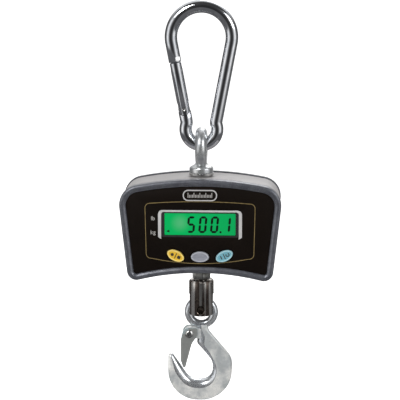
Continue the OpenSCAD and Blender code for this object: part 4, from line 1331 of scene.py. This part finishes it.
@dataclass
class FrontPanel:
    """The black panel with its window, frame, badge, printed marks and keys."""

    case: Case
    window: Flat = (55.5, 17.5)
    key: Flat = (14.0, 8.2)
    digit: Flat = (6.2, 13.2)
    stroke: float = 1.75
    slant: float = 0.09
    ink_t: float = 0.08
    # Each digit's left edge, and the place of each unit's name: across and below the case's top.
    digits: tuple[tuple[float, tuple[Segment, ...]], ...] = (
        (-9.6, FIVE), (-0.5, ZERO), (8.6, ZERO), (17.9, ONE))
    units: tuple[tuple[str, float, float], ...] = (("lb", -36.6, 30.7), ("kg", -36.6, 41.7))
    letter: float = 4.6
    # The gold line: depth below the case's top, half width and arch, at its top and bottom.
    line_top: Point = (18.4, 43.1, 500.0)
    line_low: Point = (62.6, 42.2, 186.0)
    line_corner: float = 4.0
    line_w: float = 0.52
    front: float = field(init=False)
    window_z: float = field(init=False)

    def __post_init__(self) -> None:
        """Takes the panel's face and the window's middle from the frame."""
        self.front = node_box("front_panel")[0][1]
        low, high = node_box("display_window")
        self.window_z = (low[2] + high[2]) / 2

    def key_place(self, key: Key) -> Point:
        """Gives the middle of a key's face."""
        low, high = node_box(key.node)
        return ((low[0] + high[0]) / 2, low[1], (low[2] + high[2]) / 2)

    def oval(self, name: str, key: Key, depth: float, grow: float = 0.0) -> Work:
        """Starts an oval of a key's shape and tilt.

        Args:
            name: name of the piece.
            key: the key.
            depth: Y of the face.
            grow: how far the oval stands outside the key.

        Returns:
            The new work, with its face selected.
        """
        x, _, z = self.key_place(key)
        work = Work.disc(name, (x, depth, z), 1.0, Axis.Y, 48)
        work.resize((self.key[0] / 2 + grow, 1, self.key[1] / 2 + grow), (x, depth, z))
        return work.turn(key.tilt, (x, depth, z))

    def panel(self, keys: Sequence[Key]) -> None:
        """Builds the panel with its window opening, key holes and board posts."""
        back = self.front + 2.5
        outline = self.case.outline(self.case.rim + 0.15)
        work = Work.slab("panel_overlay", outline, back, self.front)
        wide, tall = self.window
        opening = Work.traced("opening", oblong(wide, tall, 0.8, (0, self.window_z)),
                              self.front - 1)
        work.cut(opening.extrude(0, 5, 0))
        for key in keys:
            work.cut(self.oval("hole", key, self.front - 1, 0.3).extrude(0, 5, 0))
        work.soften(0.12, 2, 50)
        low, high = node_box("pcb_screws")
        posts = node_box("main_pcb")[0][1]
        for x in (low[0] + 1.9, high[0] - 1.9):
            for z in (low[2] + 1.9, high[2] - 1.9):
                work.add(rod_work("post", x, z, back - 0.2, posts, 2.75, 32))
        work.finish("scale_body", OVERLAY, "panel_black", ["front_panel"])

    def window_glass(self) -> None:
        """Builds the window: a sheet with bevelled edges, in the backlit green display's finish."""
        low, high = node_box("display_window")
        outline = oblong(high[0] - low[0], high[2] - low[2], 0.6, (0, self.window_z))
        work = Work.slab("window_pane", outline, high[1], low[1])
        work.soften(0.25, 2, 50)
        work.finish("scale_body", LCD_GREEN, "window_green", ["display_window"])

    def stroke_outline(self, segment: Segment, left: float, foot: float) -> list[Flat]:
        """Gives one pointed stroke of a digit, slanted.

        Args:
            segment: which stroke.
            left: X of the digit's left stroke's middle line.
            foot: Z of its bottom stroke's middle line.

        Returns:
            The stroke's six points.
        """
        (u, v), flat = segment.value
        wide, tall = self.digit[0] - self.stroke, (self.digit[1] - self.stroke) / 2
        half = (wide if flat else tall) / 2 - 0.1
        t = self.stroke / 2
        shape = [(-half, 0), (t - half, -t), (half - t, -t), (half, 0),
                 (half - t, t), (t - half, t)]
        x, z = u * wide, v * tall
        points = [(x + a, z + b) if flat else (x - b, z + a) for a, b in shape]
        return [(left + px + self.slant * pz, foot + pz) for px, pz in points]

    def readout(self) -> None:
        """Builds the reading, a point and a pointer, as dark strokes on the window."""
        front = node_box("display_window")[0][1]
        foot = self.window_z - self.digit[1] / 2 + self.stroke / 2 - 0.2
        outlines = []
        for left, digit in self.digits:
            outlines += [self.stroke_outline(s, left, foot) for s in digit]
        outlines.append(oblong(1.5, 1.5, 0.4, (16.0, foot - 0.1)))
        outlines.append([(-26.3, foot + 0.4), (-23.8, foot - 0.7), (-23.8, foot + 1.5)])
        self.print_ink("lcd_segments", outlines, front, LCD_DARK, "lcd_glass")

    def print_ink(self, name: str, outlines: Sequence[Sequence[Flat]], face: float,
                  ink_finish: Finish, slot: str | None, body: str = "scale_body") -> None:
        """Prints outlines as one thin piece of ink.

        Args:
            name: name of the piece.
            outlines: the shapes, each a list of points.
            face: Y of the surface printed on.
            ink_finish: the ink.
            slot: the record's material slot.
            body: CAD body that carries it.
        """
        first = None
        for outline in outlines:
            work = Work.slab(name, outline, face, face - self.ink_t)
            if first is None:
                first = work
            else:
                first.join(work)
        first.finish(body, ink_finish, slot)

    def gold_line(self) -> None:
        """Prints the thin gold line round the display and the keys."""
        (drop_top, wide_top, crown_r), (drop_low, wide_low, belly_r) = self.line_top, self.line_low
        top, low, r = self.case.top - drop_top, self.case.top - drop_low, self.line_corner
        # Each long arc ends just inside the corners.
        flat_top, flat_low = wide_top - r - 0.3, wide_low - r - 0.3
        lean_top = math.degrees(math.asin(flat_top / crown_r))
        lean_low = math.degrees(math.asin(flat_low / belly_r))
        crown = arc((0, top - math.sqrt(crown_r ** 2 - flat_top ** 2)), crown_r,
                    90 - lean_top, 90 + lean_top, 12)
        belly = arc((0, low + math.sqrt(belly_r ** 2 - flat_low ** 2)), belly_r,
                    -90 - lean_low, -90 + lean_low, 16)
        high_turns = rounded([(wide_low, low, 0), (wide_top, top, r), (-wide_top, top, r),
                              (-wide_low, low, 0)])[1:-1]
        low_turns = rounded([(-wide_top, top, 0), (-wide_low, low, r), (wide_low, low, r),
                             (wide_top, top, 0)])[1:-1]
        half_high, half_low = len(high_turns) // 2, len(low_turns) // 2
        outline = (high_turns[:half_high] + crown + high_turns[half_high:]
                   + low_turns[:half_low] + belly + low_turns[half_low:])
        back = self.front + 0.02
        work = Work.slab("gold_line", outline, back, self.front - self.ink_t)
        work.inset(self.line_w).open_back(back)
        work.finish("scale_body", GOLD_INK, "trim_silver")

    def trim(self) -> None:
        """Builds the silver frame, open at the bottom, round the window."""
        low, high = node_box("display_trim")
        x, top, foot = high[0], high[2], low[2]
        outer = rounded([(x, foot, 0), (x, top, 3.5), (-x, top, 3.5), (-x, foot, 0)])
        inner = rounded([(x - 2.5, foot - 1.6, 0), (x - 2.5, top - 1.5, 2.0),
                         (-x + 2.5, top - 1.5, 2.0), (-x + 2.5, foot - 1.6, 0)])
        outline = outer + list(reversed(inner))
        work = Work.slab("window_frame", outline, high[1], low[1])
        work.soften(0.2, 2, 50)
        work.finish("scale_body", SILVER_TRIM, "trim_silver", ["display_trim"])
        well = Work.traced("display_well", oblong(2 * x - 5.2, top - foot - 1.6, 1.2,
                                                  (0, (top + foot) / 2 - 0.8)),
                           self.front)
        well.extrude(0, -0.06, 0)
        wide, tall = self.window
        well.cut(Work.traced("well_hole", oblong(wide, tall, 0.8, (0, self.window_z)),
                             self.front - 1).extrude(0, 2, 0))
        well.finish("scale_body", BLACK_ABS, "panel_black")

    def badge(self) -> None:
        """Builds the plain badge: a capsule plate with a scale of graduations."""
        low, high = node_box("badge_plate")
        z = (low[2] + high[2]) / 2
        wide, tall = high[0] - low[0], high[2] - low[2]
        outline = oblong(wide, tall, tall / 2 - 0.2, (0, z))
        work = Work.slab("capsule_badge", outline, high[1], low[1] + 0.15)
        work.coat(SILVER_TRIM)
        work.inset(0.15, 0.15).inset(0.6, 0.0).inset(0.12, -0.25)
        work.paint_faces(OVERLAY)
        work.finish("scale_body", SILVER_TRIM, "trim_silver", ["badge_plate"])
        ticks = []
        for k in range(-8, 9):
            tall_tick = 3.9 if k % 4 == 0 else 2.4
            ticks.append(oblong(0.55, tall_tick, 0.2, (1.15 * k, z - 0.2 + tall_tick / 2 - 1.6)))
        self.print_ink("badge_graduations", ticks, low[1] + 0.27, WHITE_INK, "trim_silver")

    def labels(self) -> None:
        """Prints the two unit names beside the display."""
        for text, x, drop in self.units:
            put_down()
            bpy.ops.object.text_add(location=(0, 0, 0), rotation=(math.pi / 2, 0, 0))
            letters = bpy.context.object
            letters.data.body = text
            letters.data.size = self.letter * MM
            letters.data.align_x, letters.data.align_y = "CENTER", "CENTER"
            letters.data.extrude = self.ink_t * MM
            letters.data.resolution_u = 3
            bpy.ops.object.convert(target="MESH")
            letters = bpy.context.object
            letters.location = metres((x, self.front - 0.01, self.case.top - drop))
            Work(f"label_{text}").finish("scale_body", WHITE_INK, "trim_silver")

    def button(self, key: Key) -> None:
        """Builds one key: an oval with a raised rim, a flange and a stem.

        Args:
            key: the key.
        """
        end = node_box(key.node)[1][1]
        x, face, z = self.key_place(key)
        back = self.front + 2.65
        stem = Work.disc(f"{key.finish.name}_key", (x, end, z), 1.5, Axis.Y, 48)
        # The stem, flange and raised rim take the rim finish, painted paler as a painted highlight.
        stem.coat(key.rim)
        stem.extrude(0, back + 1.0 - end, 0)
        around = (x, back + 1.0, z)
        stem.resize(((self.key[0] / 2 + 1.1) / 1.5, 1, (self.key[1] / 2 + 1.1) / 1.5), around)
        stem.turn(key.tilt, around)
        stem.extrude(0, -1.0, 0)
        stem.inset(1.1)
        stem.extrude(0, face + 0.4 - back, 0)
        stem.inset(0.12, 0.28)
        stem.inset(0.28, 0.12)
        stem.inset(0.45, 0.0)
        stem.inset(0.25, -0.18)
        stem.paint_faces(key.finish)
        stem.inset(1.4, 0.07)
        stem.finish(key.body, key.rim, key.slot, [key.node], smooth=40)

    def key_marks(self, keys: Sequence[Key]) -> None:
        """Prints plain marks on the outer keys: two dots and a bar, and a switch sign."""
        for key, name in ((keys[0], "unit_key_marks"), (keys[2], "power_key_marks")):
            x, face, z = self.key_place(key)
            face += 0.1
            turn = -math.radians(key.tilt)
            shapes = [oblong(0.65, 4.4, 0.25)]
            if name == "unit_key_marks":
                shapes += [oblong(2.5, 2.5, 1.2, (-2.8, 0)), oblong(2.5, 2.5, 0.4, (2.8, 0))]
            else:
                shapes += [oblong(0.8, 3.0, 0.35, (-2.6, 0)),
                           arc((2.8, 0), 1.6, 120, 420, 14) + arc((2.8, 0), 0.9, 420, 120, 14)]
            placed = [[(x + a * math.cos(turn) - b * math.sin(turn),
                        z + a * math.sin(turn) + b * math.cos(turn)) for a, b in s]
                      for s in shapes]
            self.print_ink(name, placed, face, DARK_INK, key.slot, key.body)

    def build(self) -> None:
        """Builds the panel and everything on it."""
        keys = [
            Key("unit_key", "unit_button", "key_yellow", 25.0, *KEY_YELLOW),
            Key("tare_key", "tare_button", "key_grey", 0.0, *KEY_GREY),
            Key("power_key", "power_button", "key_blue", -25.0, *KEY_BLUE),
        ]
        self.panel(keys)
        self.window_glass()
        self.readout()
        self.gold_line()
        self.trim()
        self.badge()
        self.labels()
        for key in keys:
            self.button(key)
        self.key_marks(keys)


# --------------------------------------------------------------------- swivel


@dataclass
class Swivel:
    """The nut, washer and slotted sleeve that the hook turns in."""

    sleeve_r: float = 10.0
    bore_r: float = 6.8
    bolt_r: float = 4.0
    slot: float = 7.55
    slot_tall: float = 17.3
    cap: float = 3.2
    pin_r: float = 3.1
    across_flats: float = 13.0
    head_t: float = 3.4

    def nut(self) -> None:
        """Turns the jam nut's chamfers into a hexagon."""
        low, high = node_box("jam_nut")
        tall = high[2] - low[2]
        corner = self.across_flats / math.cos(math.radians(30)) / 2
        bore = self.bolt_r + 0.08
        work = Work.disc("hex_nut", (0, 0, low[2]), corner, sides=6)
        work.turn(15, (0, 0, low[2]), "Z")
        work.extrude(0, 0, tall)
        cone = Work.turned("cone", (0, 0, low[2]), [
            (6.35, 0), (7.6, 0.8), (7.6, tall - 0.8), (6.35, tall)], sides=64)
        work.combine(cone, "INTERSECT")
        work.cut(Work.disc("bore", (0, 0, low[2] - 1), bore, sides=40).extrude(0, 0, tall + 2))
        work.soften(0.2, 2, 25)
        work.finish("scale_body", NUT_ZINC, "stainless", ["jam_nut"])

    def washer(self) -> None:
        """Turns the washer above the nut."""
        low, high = node_box("lower_washer")
        tall, bore = high[2] - low[2], self.bolt_r + 0.08
        Work.turned("nut_washer", (0, 0, low[2]), [
            (bore, 0), (high[0] - 0.25, 0), (high[0], 0.25), (high[0], tall - 0.25),
            (high[0] - 0.25, tall), (bore, tall)], sides=56, closed=True).finish(
            "scale_body", STAINLESS, "stainless", ["lower_washer"])

    def bolt(self) -> None:
        """Turns the swivel bolt, with its head at the bottom."""
        low, high = node_box("swivel_bolt")
        tall, head = high[2] - low[2], high[0]
        Work.turned("headed_bolt", (0, 0, low[2]), [
            (head - 0.5, 0), (head, 0.5), (head, self.head_t), (self.bolt_r, self.head_t),
            (self.bolt_r, tall - 0.8), (self.bolt_r - 0.8, tall)], sides=48).finish(
            "scale_body", BLACKENED, "dark_steel", ["swivel_bolt"])

    def sleeve(self) -> None:
        """Turns the sleeve, then mills its slot and drills the pin's hole."""
        low, high = node_box("swivel_sleeve")
        tall = high[2] - low[2]
        r, bore, clear = self.sleeve_r, self.bore_r, self.bolt_r + 0.08
        work = Work.turned("slotted_sleeve", (0, 0, low[2]), [
            (bore, 0.3), (bore + 0.3, 0), (r - 0.8, 0), (r - 0.25, 0.25), (r, 0.8),
            (r, tall - 1.3), (r - 0.3, tall - 1.0), (r - 0.3, tall - 0.6), (r - 0.8, tall),
            (clear, tall), (clear, tall - self.cap), (bore, tall - self.cap)],
            sides=72, closed=True)
        pin_z = node_box("hook_pin")
        z = (pin_z[0][2] + pin_z[1][2]) / 2
        slot_top = low[2] + self.slot_tall
        half = self.slot / 2
        work.cut(box_work("slot", (-12, -half, low[2] - 1), (12, half, slot_top)))
        hole = Work.turned("pin_hole", (0, -12, z), [
            (self.pin_r + 0.9, 0.0), (self.pin_r + 0.9, -1.9), (self.pin_r + 0.1, -2.6),
            (self.pin_r + 0.1, -21.4), (self.pin_r + 0.9, -22.1), (self.pin_r + 0.9, -24)],
            Axis.Y, 40)
        work.cut(hole)
        work.soften(0.25, 2, 50)
        work.finish("swivel", BLACKENED, "dark_steel", ["swivel_sleeve"])

    def pin(self) -> None:
        """Turns the hook's cross pin, sunk a little into the sleeve."""
        low, high = node_box("hook_pin")
        z = (low[2] + high[2]) / 2
        half = [(1.2, low[1] + 0.7), (self.pin_r - 0.8, low[1] + 0.5),
                (self.pin_r - 0.4, low[1]), (self.pin_r, low[1] + 0.4)]
        Work.turned("cross_pin", (0, 0, z), both_ends(half), Axis.Y, 40).finish(
            "swivel", BLACKENED, "dark_steel", ["hook_pin"])

    def build(self) -> None:
        """Builds the swivel from the case downwards."""
        self.washer()
        self.nut()
        self.bolt()
        self.sleeve()
        self.pin()


# ------------------------------------------------------------------ load hook


@dataclass(frozen=True)
class Station:
    """One place along the hook: its inner and outer edge, and its thickness."""

    inner: Flat
    outer: Flat
    thick: float
    burnished: float


@dataclass
class LoadHook:
    """The forged hook with its eye, and the sprung latch across its throat."""

    eye_r: float = 10.125
    bar_r: float = 3.375
    neck_t: float = 8.0
    bowl_t: float = 12.0
    lug_r: float = 4.6
    sheet: float = 1.1
    eye_rise: float = 44.5
    stops: int = 64
    band: float = 6.2
    # Corners round the middle of the bowl, each (x, z, radius), from the eye to the tip.
    inner_line: tuple[Point, ...] = (
        (-4.2, 34.5, 0), (-3.0, 25.4, 3), (-3.6, 18.8, 3), (9.4, 4.6, 13), (8.8, -11.2, 9.2),
        (-8.8, -11.5, 12), (-20.3, 5.6, 6), (-22.2, 8.3, 0))
    outer_line: tuple[Point, ...] = (
        (5.2, 34.5, 0), (5.6, 29.5, 5), (25, 6.8, 14), (24.6, -28.2, 25), (-26, -28.2, 24),
        (-27.02, 2.0, 4), (-26.7, 7.0, 0))
    latch_line: tuple[Point, ...] = (
        (-15.2, 32.4, 5.2), (-2.6, 32.4, 1.6), (-3, 26, 1.5), (-7.6, 19, 6), (-12.7, -0.5, 0.9),
        (-14.5, -0.5, 0.5), (-16.4, 5.4, 0.8), (-16.4, 23.5, 2), (-15.2, 25, 1))
    # From the inner edge outwards: share of the band's width, share of half the thickness.
    round_side: tuple[Flat, ...] = (
        (0.0, 0.0), (0.035, 0.26), (0.14, 0.50), (0.30, 0.70), (0.52, 0.85), (0.78, 0.95))
    lug_at: Flat = (-9.6, 27.3)
    pivot: Flat = field(init=False)
    bowl_z: float = field(init=False)
    eye_z: float = field(init=False)

    def __post_init__(self) -> None:
        """Takes the eye's height from the frame, and places the bowl and the pivot."""
        self.eye_z = node_box("hook")[1][2] - self.eye_r - self.bar_r
        self.bowl_z = self.eye_z - self.eye_rise
        self.pivot = (self.lug_at[0], self.bowl_z + self.lug_at[1])

    def edge(self, corners: Sequence[Point], count: int) -> list[Flat]:
        """Gives evenly spaced points along a rounded line.

        Args:
            corners: the line's corners from the eye to the tip, as (x, z, radius).
            count: number of points.

        Returns:
            The points.
        """
        line = [Vector(corners[0][:2])]
        for i in range(1, len(corners) - 1):
            line += [Vector(p) for p in rounded(
                [corners[i - 1][:2] + (0,), corners[i], corners[i + 1][:2] + (0,)], 4.0)[1:-1]]
        line.append(Vector(corners[-1][:2]))
        lengths = [0.0]
        for a, b in zip(line, line[1:]):
            lengths.append(lengths[-1] + (b - a).length)
        points = []
        for k in range(count):
            want = lengths[-1] * k / (count - 1)
            j = max(i for i, d in enumerate(lengths) if d <= want + 1e-9)
            j = min(j, len(line) - 2)
            share = (want - lengths[j]) / max(lengths[j + 1] - lengths[j], 1e-9)
            points.append(tuple(line[j].lerp(line[j + 1], share)))
        return points

    def stations(self) -> list[Station]:
        """Gives the hook's stations from the eye round to the tip."""
        count = self.stops
        inner, outer = self.edge(self.inner_line, count), self.edge(self.outer_line, count)
        stations = []
        for k, (a, b) in enumerate(zip(inner, outer)):
            height = (a[1] + b[1]) / 2
            swell = min(1.0, max(0.0, (12.0 - height) / 8.0)) if k < count // 2 else 1.0
            tip = min(1.0, (count - 1 - k) / 9.0)
            thick = self.neck_t + (self.bowl_t - self.neck_t) * swell
            thick *= 0.55 + 0.45 * tip
            stations.append(Station(a, b, thick, swell))
        return stations

    def section(self, station: Station) -> list[Point]:
        """Gives the hook's cross-section at a station: round inside, flat on both flanks.

        Args:
            station: the station.

        Returns:
            The points round the section, from the inner edge towards -Y.
        """
        a, b = Vector(station.inner), Vector(station.outer)
        width = (b - a).length
        band = min(self.band, 0.45 * width)
        half = station.thick / 2
        side = [(band * u, half * v) for u, v in self.round_side]
        side += [(band, half), (width - 1.3, half * 0.93), (width - 0.45, half * 0.80),
                 (width, half * 0.5)]
        ring = [(u, -v) for u, v in side] + [(u, v) for u, v in reversed(side[1:])]
        points = []
        for u, y in ring:
            spot = a.lerp(b, u / width)
            points.append((spot.x, y, spot.y + self.bowl_z))
        return points

    def forging(self) -> None:
        """Draws the hook section by section, closes its tip and joins its eye."""
        stations = self.stations()
        ring = self.section(stations[0])
        work = Work.disc("forged_hook", (0, 0, self.bowl_z), 1.0, Axis.Y, len(ring))
        work.place_ring(ring)
        for station in stations[1:]:
            work.extrude(0, 0, 0.01)
            work.place_ring(self.section(station))
        last = stations[-1]
        tip = ((last.inner[0] + last.outer[0]) / 2, 0.0,
               (last.inner[1] + last.outer[1]) / 2 + self.bowl_z)
        for rise, share in ((0.9, 0.88), (0.7, 0.72), (0.4, 0.6), (0.15, 0.5)):
            work.extrude(-0.25 * rise, 0, rise)
            tip = (tip[0] - 0.25 * rise, 0.0, tip[2] + rise)
            work.resize(share, tip)
        work.coat(HOOK_FLANK)
        edges = [(Vector(s.inner), Vector(s.outer)) for s in stations]

        def burnished(centre: Vector, normal: Vector) -> bool:
            """Says whether a face lies on the rounded inner band."""
            spot = Vector((centre.x, centre.z - self.bowl_z))
            near = min(edges, key=lambda e: (e[0] - spot).length)
            width = (near[1] - near[0]).length
            return (near[0] - spot).length < min(self.band, 0.45 * width) * 0.99

        work.pick_faces(burnished).paint_faces(HOOK_BAND)
        eye = Work.torus("eye", (0, 0, self.eye_z), self.eye_r, self.bar_r, Axis.Y, 96, 28)
        eye.coat(HOOK_FLANK, HOOK_BAND).pick_all().paint_faces(HOOK_BAND)
        half, (x, z) = self.neck_t / 2, self.pivot
        lug = rod_work("lug", x, z, -half, half, self.lug_r)
        arm = box_work("arm", (x, -half, z - 4), (0, half, z + 4))
        lug.add(arm)
        ring_room = rod_work("ring_room", 0, self.eye_z, -8, 8, 8.25, 64)
        lug.cut(ring_room)
        lug.coat(HOOK_FLANK)
        work.add(lug)
        work.add(eye)
        work.finish("load_hook", HOOK_FLANK, "zinc_steel", ["hook"], smooth=32)

    def latch(self) -> None:
        """Folds the latch: two cheeks on the lug and a tongue down to the tip."""
        outline = [(x, z + self.bowl_z) for x, z in rounded(self.latch_line)]
        gap = self.neck_t / 2 + 0.3
        out = gap + self.sheet
        work = Work.slab("folded_latch", outline, out, -out)
        work.soften(0.35, 2, 50)
        inner = Work.traced("room", [(x + self.sheet, z) for x, z in outline], -gap)
        work.cut(inner.extrude(0, 2 * gap, 0))
        x, z = self.pivot
        work.cut(box_work("lug_room", (x - self.lug_r - 6, -gap, z - self.lug_r - 0.3),
                          (0, gap, z + self.lug_r + 5)))
        work.cut(rod_work("rivet_hole", x, z, -12, 12, 1.68))
        work.obj.data.materials.clear()
        work.coat(LATCH_SHEET)
        # Painted shade: faces more than 7 mm below the pivot take the darker tongue finish.
        work.pick_faces(lambda c, n: c.z < z - 7).paint_faces(LATCH_TONGUE_PAINTED_SHADE)
        work.finish("safety_latch", LATCH_SHEET, "latch_zinc", ["latch"])
        head = out + 0.2
        half = [(0.7, -head - 1.05), (1.3, -head - 1.2), (2.0, -head - 1.0),
                (2.7, -head - 0.65), (3.1, -head - 0.25), (3.3, -head), (1.6, -head)]
        Work.turned("latch_hinge_rivet", (x, 0, z), both_ends(half), Axis.Y, 40).finish(
            "load_hook", STAINLESS, "stainless", ["latch_rivet"])

    def build(self) -> None:
        """Builds the hook and its latch."""
        self.forging()
        self.latch()


# --------------------------------------------------------------------- inside


@dataclass
class Inside:
    """What the case and the gate hold: CAD nodes that keep their shape."""

    dressed: tuple[tuple[Finish, tuple[str, ...]], ...] = (
        (BLACK_ABS, ("top_bush", "bottom_bush", "battery_box")),
        (ALUMINIUM, ("load_cell",)),
        (GAUGE_FOIL, ("strain_gauges",)),
        (LEAD_PVC, ("cell_lead",)),
        (WHITE_PC, ("backlight", "lcd_panel")),
        (BOARD, ("main_pcb",)),
        (CHIP, ("pcb_chips", "tact_switches")),
        (STAINLESS, ("pcb_screws", "gate_plunger", "thrust_races", "thrust_balls",
                     "battery_contacts")),
        (SPRING_WIRE, ("gate_spring", "latch_spring")),
        (CELL_JACKET, ("aa_cell_1", "aa_cell_2", "aa_cell_3")),
    )

    def build(self) -> None:
        """Dresses each CAD node that stays in sight or inside."""
        for finish, nodes in self.dressed:
            for node in nodes:
                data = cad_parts[node].data
                data.materials.clear()
                data.materials.append(finish.build())
                log.info("%s: CAD shape in %s", node, finish.name)


# --------------------------------------------------------------------- studio


@dataclass
class Studio:
    """A pale floor, a soft bright surround and the camera."""

    floor_z: float = -0.62
    distance: float = 1.1
    elevation: float = 10.3
    azimuth: float = 2.7
    lens: float = 125.0
    aim: Point = (-0.0011, 0.0, -0.1471)
    floor_glow: float = 0.8
    # Brightness round the horizon, from behind the camera's left to its middle: (share, level).
    flags: tuple[Flat, ...] = (
        (0.0, 0.035), (0.054, 0.08), (0.08, 0.25), (0.107, 0.65), (0.138, 1.25), (0.185, 1.4),
        (0.21, 0.8), (0.233, 0.4), (0.27, 0.14), (0.311, 0.07), (0.372, 0.16), (0.42, 0.7),
        (0.5, 1.0))
    # Each soft box: its place, the length of its side and its power in watts.
    boxes: tuple[tuple[str, Point, float, float], ...] = (
        ("key_box", (-0.9, -1.3, 1.1), 0.8, 22.0),
        ("fill_box", (1.2, -0.9, 0.6), 0.7, 9.0),
        ("rear_box", (0.3, 1.4, 1.0), 0.8, 8.0))

    def floor(self) -> None:
        """Lays the floor, which is seen through from underneath."""
        put_down()
        bpy.ops.mesh.primitive_circle_add(vertices=96, radius=60.0, fill_type="NGON",
                                          location=(0, 0, self.floor_z))
        floor = bpy.context.object
        floor.name = "studio_floor"
        material = bare_material("pale_studio_floor")
        tree = material.node_tree
        cloud = noise(tree, place_of(tree), 1250.0, 2.0)
        seen = add_node(tree, "ShaderNodeLightPath").outputs["Is Camera Ray"]
        paint = add_node(tree, "ShaderNodeBsdfPrincipled", {
            "Base Color": mix(tree, cloud, "#f6f6f5", "#fafafa"), "Roughness": 0.9,
            "Specular IOR Level": 0.0, "Emission Color": (1.0, 1.0, 1.0, 1.0),
            "Emission Strength": sums(tree, "MULTIPLY", seen, self.floor_glow)}).outputs[0]
        clear = add_node(tree, "ShaderNodeBsdfTransparent").outputs[0]
        under = add_node(tree, "ShaderNodeNewGeometry").outputs["Backfacing"]
        mixed = add_node(tree, "ShaderNodeMixShader", {0: under, 1: paint, 2: clear})
        add_node(tree, "ShaderNodeOutputMaterial", {"Surface": mixed.outputs[0]})
        floor.data.materials.append(material)
        floor.visible_glossy = False

    def surround(self) -> None:
        """Makes the surround: white to the eye, with dark flags for the metal to mirror."""
        world = bpy.data.worlds.new("studio")
        bpy.context.scene.world = world
        world.use_nodes = True
        tree = world.node_tree
        tree.nodes.clear()
        way = add_node(tree, "ShaderNodeTexCoord").outputs["Generated"]
        parts = add_node(tree, "ShaderNodeSeparateXYZ", {"Vector": way})
        around = sums(tree, "ARCTAN2", parts.outputs["X"], parts.outputs["Y"])
        share = sums(tree, "ADD", sums(tree, "DIVIDE", around, 2 * math.pi), 0.5)
        ramp = add_node(tree, "ShaderNodeValToRGB", {"Fac": share})
        half = self.flags
        stops = [*half, *((1.0 - at, value) for at, value in reversed(half[:-1]))]
        ramp.color_ramp.elements[0].position = stops[0][0]
        ramp.color_ramp.elements[1].position = stops[-1][0]
        for position, _ in stops[1:-1]:
            ramp.color_ramp.elements.new(position)
        for element, (_, value) in zip(ramp.color_ramp.elements, stops):
            element.color = (value, value, value, 1.0)
        low = spread(tree, parts.outputs["Z"], -0.22, -0.32)
        level = mix(tree, low, ramp.outputs["Color"], (0.17, 0.17, 0.175, 1.0))
        behind = spread(tree, parts.outputs["Y"], -0.1, 0.45, 0.07, 1.25)
        sky = mix(tree, spread(tree, parts.outputs["Z"], 0.35, 0.7), level, behind)
        mirrored = add_node(tree, "ShaderNodeBackground", {"Color": sky, "Strength": 0.9})
        plain = add_node(tree, "ShaderNodeBackground", {
            "Color": (1.0, 1.0, 1.0, 1.0), "Strength": 1.0})
        seen = add_node(tree, "ShaderNodeLightPath").outputs["Is Camera Ray"]
        mixed = add_node(tree, "ShaderNodeMixShader", {
            0: seen, 1: mirrored.outputs[0], 2: plain.outputs[0]})
        add_node(tree, "ShaderNodeOutputWorld", {"Surface": mixed.outputs[0]})

    def lamp(self, name: str, place: Point, size: float, power: float) -> None:
        """Hangs one square soft box, facing the case.

        Args:
            name: name of the lamp.
            place: where it hangs, in metres.
            size: length of its side, in metres.
            power: its power, in watts.
        """
        light = bpy.data.lights.new(name, "AREA")
        light.shape = "SQUARE"
        light.size = size
        light.energy = power
        lamp = bpy.data.objects.new(name, light)
        bpy.context.scene.collection.objects.link(lamp)
        lamp.location = place
        aim = Vector(self.aim) - Vector(place)
        lamp.rotation_euler = aim.to_track_quat("-Z", "Y").to_euler()

    def camera(self) -> None:
        """Sets the camera in front, a little above and a little to the right."""
        data = bpy.data.cameras.new("camera")
        data.lens = self.lens
        data.sensor_width = 36.0
        camera = bpy.data.objects.new("camera", data)
        bpy.context.scene.collection.objects.link(camera)
        bpy.context.scene.camera = camera
        a, e = math.radians(self.azimuth), math.radians(self.elevation)
        back = Vector((math.sin(a) * math.cos(e), -math.cos(a) * math.cos(e), math.sin(e)))
        camera.location = Vector(self.aim) + back * self.distance
        camera.rotation_euler = (-back).to_track_quat("-Z", "Y").to_euler()

    def build(self) -> None:
        """Sets up floor, surround, lamps and camera."""
        self.floor()
        self.surround()
        for box in self.boxes:
            self.lamp(*box)
        self.camera()
        bpy.context.scene.view_settings.view_transform = "Standard"


def main() -> None:
    """Builds the studio and then each sub-assembly from the top down."""
    logging.basicConfig(level=logging.INFO, format="%(message)s")
    Studio().build()
    SnapHook().build()
    EyeBolt().build()
    case = Case()
    case.build()
    FrontPanel(case).build()
    Swivel().build()
    LoadHook().build()
    Inside().build()


if __name__ == "__main__":
    main()
